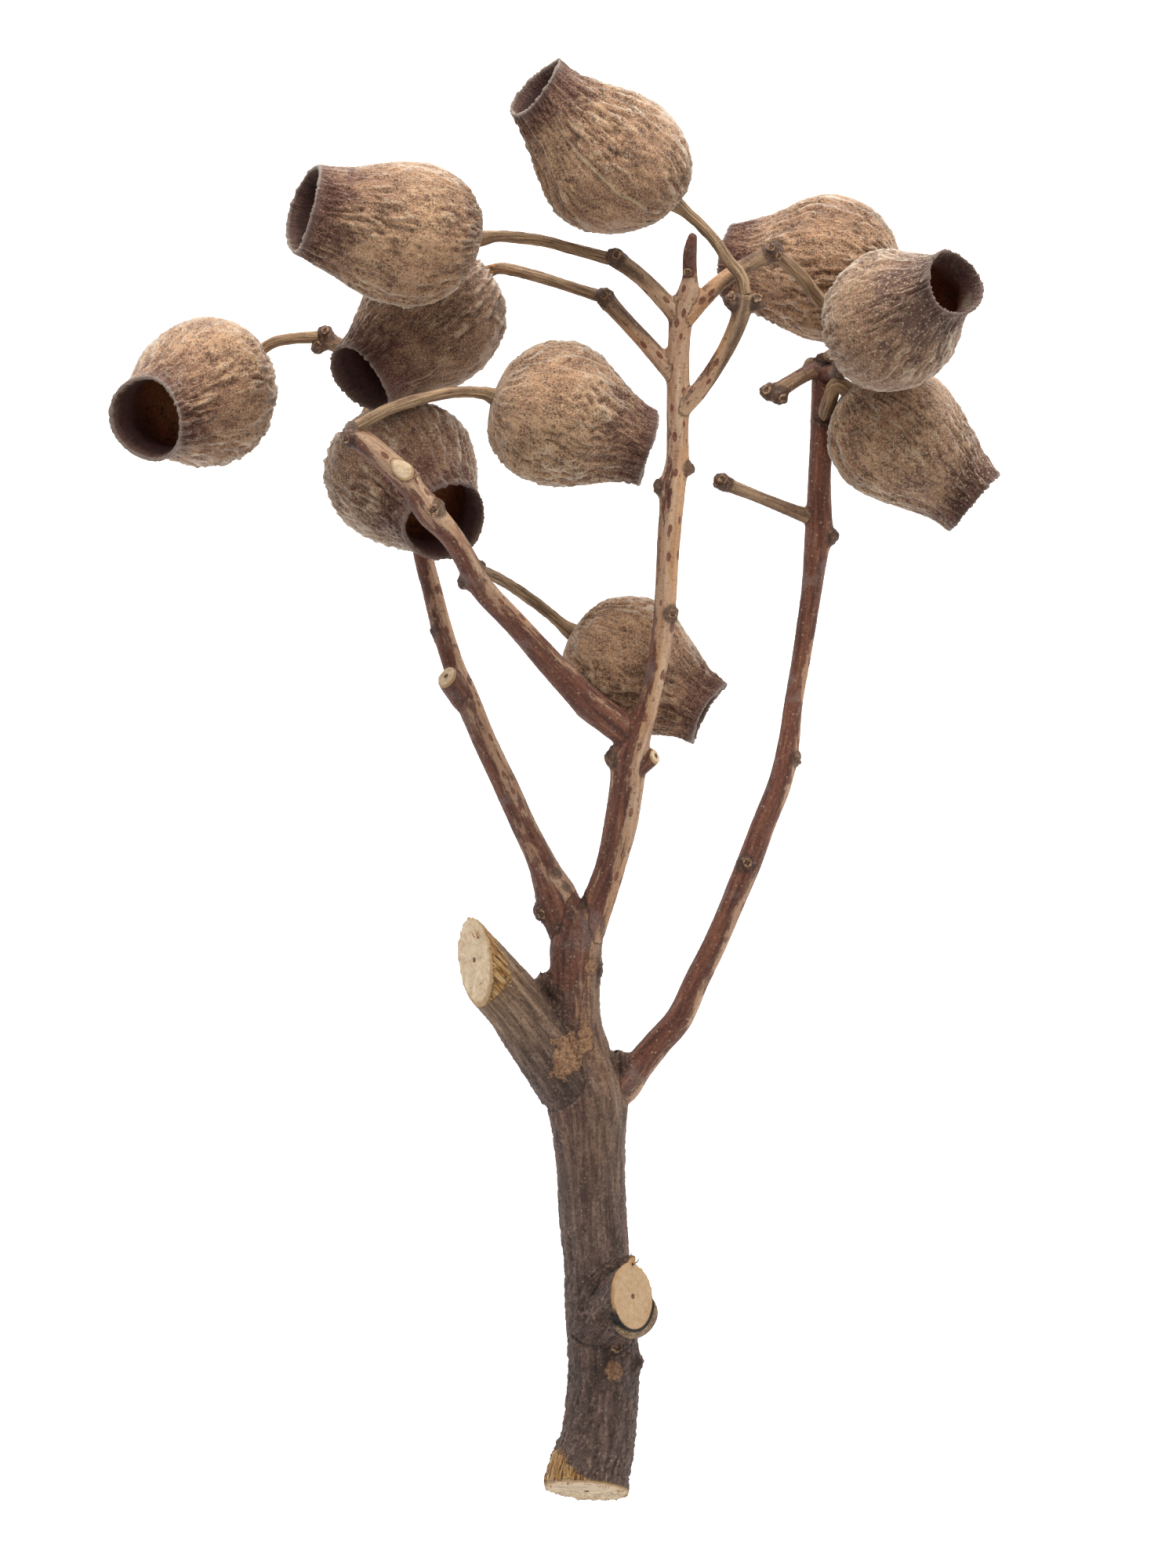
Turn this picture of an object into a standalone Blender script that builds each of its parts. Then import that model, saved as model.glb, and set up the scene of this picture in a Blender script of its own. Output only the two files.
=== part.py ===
"""A cut gum-tree branch with ten open, bell-shaped pods, lying on a table.

Lengths are written in millimetres and turned into metres as each mesh is made.
X runs across the branch, Y runs from its cut foot to its twig tips, and Z is up from the table.
The branch rests on three small flat spots: its foot, a knuckle of the left shoot and one pod.
"""

import math

import bmesh
import bpy
from mathutils import Vector

MM = 0.001

# The pods' common shape. Heights are shares of a pod's length, measured from its stalk end.
WIDEST_AT = 0.40
LIP_STARTS_AT = 0.86
RIM_WALL = 0.8
THROAT_AT = 0.88
THROAT_WALL = 1.6
CHAMBER_AT = 0.62
CHAMBER_SHARE = 0.62
FLOOR_AT = 0.47
FLOOR_DOME = 1.2
RIM_WAVE = 0.5
OVALNESS = ((2, 0.020), (3, 0.013), (5, 0.006))
OUTER_HEIGHTS = (0.018, 0.055, 0.12, 0.21, 0.32, 0.43, 0.54, 0.65, 0.76, 0.86, 0.94, 1.0)
POD_SIDES = 24

# Stalks, in millimetres.
STALK_RADIUS = 1.1
STALK_ROOT_RADIUS = 1.45
STALK_HEAD_RADIUS = 1.9
STALK_FLARE = 4.0
STALK_SIDES = 8
STALK_STEP = 3.2

LIMB_STEP = 4.6
SAW_FADE = 16.0
LOWEST_POD = "pod_back_right"

BARK_COLOUR = (0.115, 0.070, 0.048, 1.0)
POD_COLOUR = (0.225, 0.150, 0.092, 1.0)

# Each pod: centre of its mouth, its stalk end, mouth radius, widest radius, how far the lip turns out,
# a turn of its oval outline in degrees, how far its middle bows sideways, where its mouth looks if not
# straight along the pod, and its stalk's way to the wood.
PODS = {
    "pod_top": dict(
        mouth=(-3.4, 131.5, 58.0), base=(23.0, 109.5, 49.0), mouth_radius=7.1, belly=14.1, lip=0.1, turn=20,
        bow=(-1.1, -1.3, 0.0),
        stalk=(
            (25.2, 107.7, 48.6), (29.9, 103.2, 49.2), (33.2, 98.5, 50.2),
            (35.6, 95.4, 50.7), (36.1, 93.2, 50.8),
        ),
    ),
    "pod_upper_left": dict(
        mouth=(-47.7, 108.4, 54.0), base=(-14.4, 102.8, 44.5), mouth_radius=8.8, belly=13.9, lip=0.0, turn=75,
        bow=(0.0, -1.2, 0.0), faces=(-0.94, 0.27, 0.26),
        stalk=(
            (-11.8, 103.2, 43.9), (-8.4, 103.2, 43.2), (-1.9, 102.4, 43.0),
            (4.0, 100.8, 43.2), (9.4, 99.3, 43.6),
        ),
    ),
    "pod_inner_left": dict(
        mouth=(-37.0, 75.9, 37.5), base=(-13.9, 96.1, 20.0), mouth_radius=7.6, belly=13.3, lip=0.2, turn=140,
        stalk=(
            (-12.4, 97.2, 19.1), (-9.6, 97.6, 20.0), (-4.0, 96.2, 24.5),
            (1.6, 94.4, 30.0), (7.5, 92.4, 35.0),
        ),
    ),
    "pod_far_left": dict(
        mouth=(-77.8, 68.4, 42.0), base=(-60.1, 77.6, 14.1), mouth_radius=8.3, belly=14.0, lip=0.3, turn=200,
        stalk=(
            (-58.9, 78.5, 11.6), (-57.3, 81.2, 8.8), (-54.6, 83.4, 8.3),
            (-51.0, 84.3, 8.6), (-46.6, 84.6, 8.9),
        ),
    ),
    "pod_lower_left": dict(
        mouth=(-20.9, 49.0, 42.0), base=(-35.1, 64.6, 14.4), mouth_radius=8.4, belly=14.3, lip=0.5, turn=250,
        stalk=((-35.9, 65.8, 12.2), (-36.6, 68.0, 9.4), (-35.8, 70.4, 7.0), (-34.5, 71.6, 5.7)),
    ),
    "pod_middle": dict(
        mouth=(17.8, 62.9, 51.0), base=(-11.7, 72.6, 54.5), mouth_radius=7.6, belly=14.1, lip=0.1, turn=310,
        bow=(0.2, 0.8, 0.0), faces=(0.96, -0.22, -0.06),
        stalk=(
            (-14.2, 73.3, 55.2), (-19.6, 73.3, 57.6), (-25.6, 72.0, 60.0),
            (-31.4, 70.1, 61.4), (-36.4, 67.4, 61.8),
        ),
    ),
    "pod_low": dict(
        mouth=(29.3, 12.7, 23.0), base=(3.3, 27.9, 21.0), mouth_radius=6.5, belly=12.9, lip=0.2, turn=10,
        stalk=(
            (1.3, 29.4, 20.9), (-1.2, 31.6, 22.6), (-5.3, 34.7, 28.0),
            (-10.0, 37.7, 35.0), (-14.2, 39.6, 43.2),
        ),
    ),
    "pod_back_right": dict(
        mouth=(33.6, 98.6, 8.7), base=(65.9, 97.1, 16.6), mouth_radius=7.9, belly=13.9, lip=0.1, turn=100,
        stalk=(
            (68.2, 97.0, 17.0), (70.6, 94.6, 19.0), (69.8, 90.0, 21.8), (64.0, 86.8, 25.0),
            (57.0, 87.6, 28.2), (51.0, 91.0, 31.5), (47.4, 95.6, 35.0), (43.5, 99.0, 38.3),
        ),
    ),
    "pod_front_right": dict(
        mouth=(76.1, 94.2, 59.6), base=(56.6, 82.5, 33.2), mouth_radius=6.6, belly=13.3, lip=0.7, turn=160,
        stalk=((55.2, 81.7, 31.2), (53.9, 81.1, 28.0), (53.2, 80.9, 25.0), (52.8, 80.8, 23.4)),
    ),
    "pod_lower_right": dict(
        mouth=(79.9, 53.2, 23.5), base=(56.0, 74.3, 28.5), mouth_radius=7.5, belly=13.0, lip=0.1, turn=220,
        stalk=(
            (54.6, 75.3, 28.7), (53.4, 74.4, 27.8), (52.7, 72.3, 26.2),
            (52.1, 70.6, 24.2), (51.9, 70.1, 23.5),
        ),
    ),
}

# The wood: each limb is a row of (x, y, z, radius) from its thick end.
TRUNK = (
    (6.1, -137.1, 7.4, 7.6), (6.6, -132.9, 7.6, 7.5), (8.2, -127.2, 7.8, 7.0), (9.1, -120.5, 8.5, 6.7),
    (9.4, -113.7, 9.5, 6.6), (9.1, -106.2, 10.6, 6.5), (8.5, -98.7, 11.8, 6.3), (7.9, -91.2, 13.0, 6.1),
    (7.3, -83.7, 14.2, 6.3), (7.0, -76.2, 15.4, 6.3), (6.6, -68.7, 16.6, 6.8), (6.1, -61.2, 17.8, 7.5),
    (4.6, -53.0, 19.3, 6.0), (3.9, -46.2, 20.6, 4.8), (3.9, -38.7, 21.9, 4.6), (4.2, -31.2, 23.2, 4.8),
    (4.9, -26.0, 24.4, 4.2),
)
CENTRAL_SHOOT = (
    (4.7, -33.0, 23.2, 3.6), (8.4, -23.7, 26.0, 2.9), (10.9, -16.2, 28.3, 2.7), (12.7, -8.7, 30.6, 3.0),
    (13.8, -1.2, 33.0, 3.1), (14.4, 4.8, 35.0, 3.3), (16.0, 9.3, 36.6, 2.6), (17.8, 13.8, 38.2, 1.9),
    (19.6, 21.3, 39.8, 1.8), (20.8, 28.8, 40.6, 1.9), (21.3, 36.3, 41.2, 1.9), (21.7, 43.8, 41.5, 2.0),
    (22.3, 51.3, 41.6, 2.1), (22.6, 55.8, 41.5, 2.3), (23.4, 60.3, 41.3, 2.0), (23.5, 66.3, 41.1, 1.9),
    (23.6, 73.8, 41.0, 2.0), (23.7, 81.3, 41.0, 1.9), (24.3, 88.8, 41.3, 2.1), (25.6, 93.0, 41.8, 1.8),
    (25.9, 96.3, 42.3, 1.1), (25.8, 99.3, 42.8, 1.1), (26.5, 103.5, 43.5, 0.5),
)
FRONT_BRANCH = (
    (13.9, 8.5, 36.0, 2.8), (10.1, 11.5, 38.0, 2.9), (6.7, 14.1, 39.6, 2.8), (-0.5, 21.6, 42.6, 2.4),
    (-7.1, 29.0, 45.0, 2.1), (-13.9, 36.3, 47.6, 2.1), (-17.6, 42.9, 50.2, 2.0), (-20.3, 46.8, 52.0, 2.1),
    (-23.8, 50.5, 54.2, 2.5), (-26.6, 54.6, 56.2, 2.1), (-29.3, 57.9, 57.8, 2.2), (-35.9, 63.7, 60.1, 2.0),
    (-38.3, 65.2, 60.5, 2.0),
)
LEFT_SHOOT = (
    (3.6, -31.0, 23.0, 3.9), (0.7, -23.7, 23.6, 3.9), (-1.1, -19.5, 24.0, 3.1), (-2.6, -15.9, 24.0, 2.5),
    (-6.1, -8.7, 23.6, 2.2), (-9.5, -1.2, 22.8, 2.2), (-13.1, 6.3, 21.4, 2.1), (-16.1, 13.4, 19.8, 2.2),
    (-17.6, 16.8, 19.0, 2.3), (-19.3, 21.3, 17.8, 1.9), (-21.7, 28.8, 15.7, 1.8), (-23.6, 36.3, 13.3, 1.7),
    (-25.0, 41.6, 11.4, 1.7), (-26.9, 52.0, 7.8, 1.7), (-28.8, 60.3, 5.2, 1.7), (-30.6, 67.8, 3.3, 1.8),
    (-32.1, 73.8, 2.3, 2.5), (-33.6, 78.3, 3.2, 1.7),
)
RIGHT_SHOOT = (
    (8.7, -62.0, 17.2, 3.6), (13.2, -59.0, 18.2, 3.2), (15.7, -55.8, 19.0, 2.7), (19.9, -50.7, 20.0, 2.5),
    (23.9, -46.0, 20.8, 2.4), (27.3, -38.7, 21.6, 2.2), (31.0, -31.2, 22.3, 2.1), (34.2, -23.7, 22.8, 2.1),
    (37.3, -16.2, 23.0, 2.2), (40.1, -8.7, 23.0, 2.1), (43.1, -1.2, 22.8, 2.1), (44.8, 6.3, 22.4, 1.9),
    (45.7, 13.8, 22.0, 1.6), (47.0, 21.3, 21.4, 1.6), (48.2, 28.8, 21.0, 1.7), (49.3, 36.3, 20.6, 1.8),
    (50.2, 43.8, 20.2, 2.1), (50.7, 46.8, 20.1, 2.4), (50.7, 52.1, 20.0, 2.0), (50.8, 58.8, 20.0, 1.7),
    (51.3, 66.3, 20.0, 1.7), (51.4, 73.8, 20.1, 1.7), (51.7, 79.8, 20.4, 1.7),
)
# Limbs that carry a pod or carried one, thick end first.
TWIGS = {
    "twig_upper_left": (
        (24.3, 87.0, 41.4, 1.6), (20.5, 91.5, 42.2, 1.5), (16.0, 95.9, 43.2, 1.4), (11.9, 98.9, 43.7, 1.5),
    ),
    "twig_inner_left": (
        (23.2, 76.4, 41.0, 1.7), (18.4, 82.0, 40.2, 1.5), (14.0, 86.8, 38.8, 1.4), (9.7, 91.5, 36.8, 1.5),
    ),
    "twig_top": (
        (23.6, 69.6, 41.2, 1.6), (27.5, 73.8, 43.0, 1.5), (31.5, 79.6, 45.6, 1.4),
        (34.2, 84.8, 48.2, 1.5), (35.9, 89.6, 50.0, 1.6), (36.2, 92.3, 50.6, 1.5),
    ),
    "twig_back_right": (
        (25.2, 87.8, 41.5, 1.6), (29.0, 92.1, 41.0, 1.5), (33.5, 96.0, 40.4, 1.3), (41.6, 100.4, 39.7, 1.5),
    ),
    "twig_far_left": (
        (-33.4, 77.6, 3.2, 1.7), (-37.8, 81.0, 5.0, 1.4), (-41.6, 83.1, 7.4, 1.4), (-44.5, 84.2, 8.8, 1.5),
    ),
    "twig_bare_low": (
        (50.4, 49.6, 20.1, 1.5), (46.6, 50.8, 21.2, 1.2), (39.5, 53.6, 23.4, 1.0), (32.4, 56.4, 25.2, 1.2),
    ),
    "twig_bare_high": ((51.4, 79.0, 20.4, 1.6), (47.4, 77.0, 23.6, 1.3), (42.6, 74.0, 27.0, 1.4)),
    "twig_bare_short": ((51.5, 77.6, 20.4, 1.5), (48.0, 79.6, 21.2, 1.2)),
    "twig_bare_right": ((51.4, 77.2, 20.4, 1.4), (53.2, 77.8, 24.8, 1.2), (54.8, 77.9, 29.4, 1.3)),
}
# Limbs that were sawn off: centre line, then the way that the sawn face looks.
STUBS = {
    "stub_large": dict(
        line=(
            (3.8, -58.4, 18.4, 7.3), (-2.2, -50.4, 20.2, 6.5),
            (-8.4, -42.6, 22.0, 5.7), (-15.4, -34.9, 24.0, 5.6),
        ),
        faces=(-0.84, 0.0, 0.54), sides=16,
    ),
    "stub_low": dict(
        line=((9.2, -105.2, 11.6, 6.4), (12.0, -102.3, 15.8, 5.9), (15.0, -99.4, 20.0, 5.6)),
        faces=(0.75, 0.0, 0.66), sides=14,
    ),
    "stub_front": dict(
        line=((-27.4, 56.6, 55.8, 2.0), (-29.0, 58.8, 59.6, 1.8)), faces=(-0.3, 0.2, 0.93), sides=10,
    ),
    "stub_left": dict(
        line=((-17.3, 14.9, 19.3, 2.3), (-20.8, 19.5, 22.0, 2.0)), faces=(-0.6, 0.5, 0.6), sides=10,
    ),
    "stub_right": dict(
        line=((15.4, 1.6, 34.4, 1.9), (19.4, 4.2, 36.0, 1.2)), faces=(0.8, 0.3, 0.5), sides=8,
    ),
}
# Knuckles, scars and buds: centre and radius.
KNOBS = (
    (11.5, 99.4, 44.2, 1.75), (9.5, 91.9, 37.2, 1.7), (33.8, 90.7, 50.4, 1.45), (38.6, 90.4, 50.4, 1.4),
    (41.9, 100.6, 40.2, 1.8), (-44.2, 85.4, 8.8, 1.5), (-45.4, 82.9, 8.6, 1.4), (32.0, 56.7, 25.6, 1.7),
    (43.1, 73.0, 27.8, 1.5), (41.0, 73.9, 27.2, 1.6), (54.9, 77.9, 30.2, 1.4), (-38.8, 64.6, 60.6, 1.7),
    (-14.7, 40.1, 45.6, 1.6), (-33.0, 71.9, 4.2, 1.7), (51.7, 79.8, 21.2, 1.7), (51.5, 68.6, 20.6, 1.6),
    (20.2, 55.4, 41.4, 1.4), (25.4, 59.0, 41.6, 1.3), (22.4, 31.3, 42.2, 1.3), (36.6, -16.4, 24.8, 1.3),
    (45.9, 3.6, 22.8, 1.4), (53.0, 46.2, 20.6, 1.4), (-17.2, 37.4, 47.4, 1.4), (-22.6, 51.4, 54.9, 1.7),
    (-22.6, 28.0, 16.0, 1.2), (-1.8, -25.3, 23.6, 2.2), (7.1, -37.0, 22.4, 2.2), (-1.4, -39.4, 22.0, 2.2),
    (12.4, -109.4, 14.8, 2.0), (15.4, -112.4, 11.4, 1.6), (12.4, -54.6, 19.6, 2.2), (11.4, 3.8, 35.0, 1.8),
)


def smooth_path(points, step):
    """Points about one step apart on a smooth curve through rows of numbers, each number blended alike."""
    rows = [Vector(p) for p in points]
    ends = [2 * rows[0] - rows[1], *rows, 2 * rows[-1] - rows[-2]]
    path = []
    for before, start, stop, after in zip(ends, ends[1:], ends[2:], ends[3:]):
        pieces = max(1, round((Vector(stop[:3]) - Vector(start[:3])).length / step))
        for k in range(pieces):
            t = k / pieces
            path.append(
                0.5
                * (
                    2 * start
                    + (stop - before) * t
                    + (2 * before - 5 * start + 4 * stop - after) * t**2
                    + (3 * start - before - 3 * stop + after) * t**3
                )
            )
    path.append(rows[-1])
    return path


def frames_along(centres):
    """For each centre, the way the line runs there and two square directions that don't twist along it."""
    runs = [(b - a).normalized() for a, b in zip(centres, centres[1:])]
    ways = [runs[0], *[(a + b).normalized() for a, b in zip(runs, runs[1:])], runs[-1]]
    side = ways[0].orthogonal().normalized()
    frames = []
    before = ways[0]
    for way in ways:
        turn = before.rotation_difference(way)
        side = (turn @ side).normalized()
        side = (side - way * side.dot(way)).normalized()
        frames.append((way, side, way.cross(side)))
        before = way
    return frames


def ring(mesh, centre, frame, radius_at, sides, lift_at=None):
    """A loop of points round centre. radius_at and lift_at give a size for each angle."""
    way, side, other = frame
    loop = []
    for k in range(sides):
        angle = 2 * math.pi * k / sides
        out = side * math.cos(angle) + other * math.sin(angle)
        lift = lift_at(angle) if lift_at else 0.0
        loop.append(mesh.verts.new((centre + out * radius_at(angle) + way * lift) * MM))
    return loop


def join_rings(mesh, first, second):
    """Faces between two loops. The second may have a whole number of times as many points as the first."""
    times = len(second) // len(first)
    for i, corner in enumerate(first):
        following = first[(i + 1) % len(first)]
        fan = [second[(times * i + k) % len(second)] for k in range(times + 1)]
        half = (times + 1) // 2
        for a, b in zip(fan[:half], fan[1:]):
            if times > 1:
                mesh.faces.new((corner, a, b))
        for a, b in zip(fan[half:], fan[half + 1 :]):
            mesh.faces.new((following, a, b))
        if times > 1:
            mesh.faces.new((corner, fan[half], following))
        else:
            mesh.faces.new((corner, fan[0], fan[1], following))


def close_ring(mesh, loop):
    """A flat fan over a loop."""
    middle = sum((v.co for v in loop), Vector()) / len(loop)
    hub = mesh.verts.new(middle)
    for a, b in zip(loop, loop[1:] + loop[:1]):
        mesh.faces.new((a, b, hub))


def object_from(mesh, name, material=None):
    """Turns a bmesh into an object whose faces point outwards and whose round sides are shaded smooth."""
    bmesh.ops.recalc_face_normals(mesh, faces=mesh.faces)
    data = bpy.data.meshes.new(name)
    mesh.to_mesh(data)
    mesh.free()
    data.shade_smooth()
    data.set_sharp_from_angle(angle=math.radians(50))
    if material:
        data.materials.append(material)
    made = bpy.data.objects.new(name, data)
    bpy.context.scene.collection.objects.link(made)
    return made


def plain_material(name, colour, roughness):
    material = bpy.data.materials.new(name)
    material.use_nodes = True
    shader = material.node_tree.nodes["Principled BSDF"]
    shader.inputs["Base Color"].default_value = colour
    shader.inputs["Roughness"].default_value = roughness
    shader.inputs["Metallic"].default_value = 0.0
    return material


def outer_radius(height, pod):
    """A pod's outside radius at a height from 0 at its stalk to 1 at its rim."""
    mouth = pod["mouth_radius"]
    belly = pod["belly"]
    if height < WIDEST_AT:
        return belly * math.sqrt(1 - ((WIDEST_AT - height) / WIDEST_AT) ** 2)
    along = (height - WIDEST_AT) / (1 - WIDEST_AT)
    swell = 0.5 + 0.5 * math.cos(math.pi * along)
    neck = mouth - pod["lip"]
    lip = pod["lip"] * max(0.0, (height - LIP_STARTS_AT) / (1 - LIP_STARTS_AT)) ** 1.5
    return neck + (belly - neck) * swell + lip


def uneven(pod, depth=1.0):
    """How far from round a pod is, as a factor for each angle."""
    turn = math.radians(pod["turn"])
    return lambda angle: 1 + depth * sum(
        share * math.cos(count * angle + turn * count) for count, share in OVALNESS
    )


def hollow_profile(pod):
    """Heights and radii down the inside of a pod, from its rim to the edge of its floor."""
    mouth = pod["mouth_radius"]
    chamber = pod["belly"] * CHAMBER_SHARE
    throat = mouth - THROAT_WALL
    return (
        (1.0, mouth - RIM_WALL),
        (THROAT_AT, throat),
        (0.5 * (THROAT_AT + CHAMBER_AT), 0.45 * throat + 0.55 * chamber),
        (CHAMBER_AT, chamber),
        (0.5 * (CHAMBER_AT + FLOOR_AT), 0.93 * chamber),
        (FLOOR_AT, 0.70 * chamber),
    )


def tilt(loop, centre, way, faces, share=1.0):
    """Slides a loop's points along the line's way until the loop looks where faces says, or partly so."""
    square = Vector(faces).normalized()
    for v in loop:
        v.co -= share * way * (v.co - centre * MM).dot(square) / way.dot(square)


def pod_object(name, pod, material):
    """One pod with its stalk: a single skin from the stalk's end, over the outside and into the hollow."""
    mouth, base = Vector(pod["mouth"]), Vector(pod["base"])
    length = (mouth - base).length
    way = (mouth - base) / length
    stalk_line = [*reversed(pod["stalk"]), pod["base"]]
    guide = smooth_path([*stalk_line, tuple(base + way * STALK_STEP)], STALK_STEP)
    stalk = [Vector(p) for p in guide[:-1]]
    bow = Vector(pod.get("bow", (0.0, 0.0, 0.0)))
    body = [base + way * length * height for height in OUTER_HEIGHTS]
    frames = frames_along([*stalk, *body])
    mesh = bmesh.new()

    loops = []
    for centre, frame in zip(stalk, frames):
        to_pod = (centre - base).length
        to_wood = (centre - stalk[0]).length
        radius = STALK_RADIUS
        radius += (STALK_HEAD_RADIUS - STALK_RADIUS) * max(0.0, 1 - to_pod / STALK_FLARE) ** 1.5
        radius += (STALK_ROOT_RADIUS - STALK_RADIUS) * max(0.0, 1 - to_wood / STALK_FLARE)
        loops.append(ring(mesh, centre, frame, lambda angle, r=radius: r, STALK_SIDES))
    oval = uneven(pod)
    turn = math.radians(pod["turn"])
    skin = [(height, outer_radius(height, pod)) for height in OUTER_HEIGHTS]
    for height, radius in [*skin, *hollow_profile(pod)]:
        centre = base + way * length * height + bow * 4 * height * (1 - height)
        loop = ring(
            mesh, centre, frames[-1], lambda angle, r=radius: r * oval(angle), POD_SIDES,
            lambda angle, w=RIM_WAVE * height**4: w * math.cos(2 * angle + turn),
        )
        if "faces" in pod:
            tilt(loop, centre, way, pod["faces"], max(0.0, 2 * height - 1))
        loops.append(loop)
    for first, second in zip(loops, loops[1:]):
        join_rings(mesh, first, second)
    close_ring(mesh, loops[0])
    floor_hub = mesh.verts.new((base + way * (length * FLOOR_AT + FLOOR_DOME)) * MM)
    for a, b in zip(loops[-1], loops[-1][1:] + loops[-1][:1]):
        mesh.faces.new((a, b, floor_hub))

    for v in mesh.verts:
        v.co -= base * MM
    made = object_from(mesh, name, material)
    made.location = base * MM
    return made


def limb_object(name, rows, sides, faces=None):
    """A tapering round limb along rows of x, y, z and radius. faces is where its sawn end looks."""
    path = smooth_path(rows, LIMB_STEP)
    centres = [Vector(p[:3]) for p in path]
    frames = frames_along(centres)
    mesh = bmesh.new()
    loops = [
        ring(mesh, centre, frame, lambda angle, r=row[3]: r, sides)
        for centre, frame, row in zip(centres, frames, path)
    ]
    if faces:
        for loop, centre, (way, *_) in zip(loops, centres, frames):
            tilt(loop, centre, way, faces, max(0.0, 1 - (centre - centres[-1]).length / SAW_FADE))
    for first, second in zip(loops, loops[1:]):
        join_rings(mesh, first, second)
    close_ring(mesh, loops[0])
    close_ring(mesh, loops[-1])
    return object_from(mesh, name)


def knob_object(name, x, y, z, radius):
    mesh = bmesh.new()
    bmesh.ops.create_icosphere(mesh, subdivisions=1, radius=radius * MM)
    for v in mesh.verts:
        v.co += Vector((x, y, z)) * MM
    return object_from(mesh, name)


def applied(made):
    """Replaces an object's mesh by what its modifiers give, and drops them."""
    graph = bpy.context.evaluated_depsgraph_get()
    graph.update()
    data = bpy.data.meshes.new_from_object(made.evaluated_get(graph))
    made.modifiers.clear()
    made.data = data


def flatten_foot(made):
    """Cuts off what dips below the table, which leaves a small flat spot there."""
    mesh = bmesh.new()
    mesh.from_mesh(made.data)
    at_origin = -made.location
    cut = bmesh.ops.bisect_plane(
        mesh, geom=[*mesh.verts, *mesh.edges, *mesh.faces], dist=1e-6,
        plane_co=at_origin, plane_no=(0, 0, 1), clear_inner=True,
    )
    rim = [e for e in cut["geom_cut"] if isinstance(e, bmesh.types.BMEdge)]
    bmesh.ops.triangle_fill(mesh, edges=rim, use_beauty=True)
    bmesh.ops.recalc_face_normals(mesh, faces=mesh.faces)
    mesh.to_mesh(made.data)
    mesh.free()


def branch_object(material):
    """The whole piece of wood: every limb, stub and knob joined to the trunk."""
    trunk = limb_object("branch", TRUNK, 18)
    parts = [limb_object("central_shoot", CENTRAL_SHOOT, 10), limb_object("front_branch", FRONT_BRANCH, 10)]
    parts += [limb_object("left_shoot", LEFT_SHOOT, 10), limb_object("right_shoot", RIGHT_SHOOT, 10)]
    parts += [limb_object(name, rows, 8) for name, rows in TWIGS.items()]
    parts += [limb_object(name, stub["line"], stub["sides"], stub["faces"]) for name, stub in STUBS.items()]
    parts += [knob_object(f"knob_{k}", *knob) for k, knob in enumerate(KNOBS)]
    growth = bpy.data.collections.new("growth")
    for part in parts:
        growth.objects.link(part)
    join = trunk.modifiers.new("join", "BOOLEAN")
    join.operation = "UNION"
    join.operand_type = "COLLECTION"
    join.collection = growth
    join.solver = "EXACT"
    applied(trunk)
    for part in parts:
        bpy.data.objects.remove(part)
    bpy.data.collections.remove(growth)
    trunk.data.materials.clear()
    trunk.data.materials.append(material)
    return trunk


def centre_on_table(objects):
    """Moves everything sideways until the middle of the whole lies over the origin."""
    bpy.context.view_layer.update()
    corners = [made.matrix_world @ v.co for made in objects for v in made.data.vertices]
    for axis in (0, 1):
        middle = (min(c[axis] for c in corners) + max(c[axis] for c in corners)) / 2
        for made in objects:
            made.location[axis] -= middle


def main():
    for old in list(bpy.data.objects):
        bpy.data.objects.remove(old)
    bark = plain_material("bark", BARK_COLOUR, 0.75)
    pod_skin = plain_material("pod_skin", POD_COLOUR, 0.8)
    branch = branch_object(bark)
    pods = [pod_object(name, pod, pod_skin) for name, pod in PODS.items()]
    flatten_foot(branch)
    flatten_foot(bpy.data.objects[LOWEST_POD])
    centre_on_table([branch, *pods])


main()
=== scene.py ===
"""The looks of a cut gum-tree branch with ten open, bell-shaped pods, lying on a pale table, seen from above.

Lengths are in millimetres and turned into metres as each mesh is made. X runs across the branch,
Y from its cut foot to its twig tips and Z up. The wood is one piece and each pod, with its stalk, is another.
"""

import math
import random

import bmesh
import bpy
import numpy as np
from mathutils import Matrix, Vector


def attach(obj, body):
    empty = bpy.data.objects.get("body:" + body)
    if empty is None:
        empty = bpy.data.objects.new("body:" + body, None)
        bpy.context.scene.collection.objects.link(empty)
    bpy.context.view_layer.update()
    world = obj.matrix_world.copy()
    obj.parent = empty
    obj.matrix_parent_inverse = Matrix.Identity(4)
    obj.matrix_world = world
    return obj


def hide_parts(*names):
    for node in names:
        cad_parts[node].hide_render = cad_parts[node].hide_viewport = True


MM = 0.001
TAU = math.tau
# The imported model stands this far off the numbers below, because its middle was brought over the origin.
RECENTRE = Vector((-0.039, 0.628, 0.0))

# A pod's shape. Heights are shares of its length, measured from its stalk end.
WIDEST_AT = 0.40
LIP_STARTS_AT = 0.86
RIM_WALL = 0.55
THROAT_AT = 0.88
THROAT_WALL = 1.6
CHAMBER_AT = 0.62
CHAMBER_SHARE = 0.62
FLOOR_AT = 0.47
FLOOR_SHARE = 0.70
FLOOR_DOME = 1.2
RIM_WAVE = 0.5
RIM_CHIPS = 0.16
OVALNESS = ((2, 0.020), (3, 0.013), (5, 0.006))
POD_RINGS = 148
POD_SIDES = 224
# Shares of those rings: up the outside, over the rim and down the inner wall. The rest make the floor.
OUTSIDE_SHARE = 0.68
RIM_SHARE = 0.03
WALL_SHARE = 0.19

STALK_RADIUS = 1.1
STALK_ROOT_RADIUS = 1.2
STALK_HEAD_RADIUS = 1.7
STALK_FLARE = 4.0
STALK_STEP = 0.7
STALK_SIDES = 26
STALK_SUNK = 3.0
STALK_ROOTED = 1.2

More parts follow.
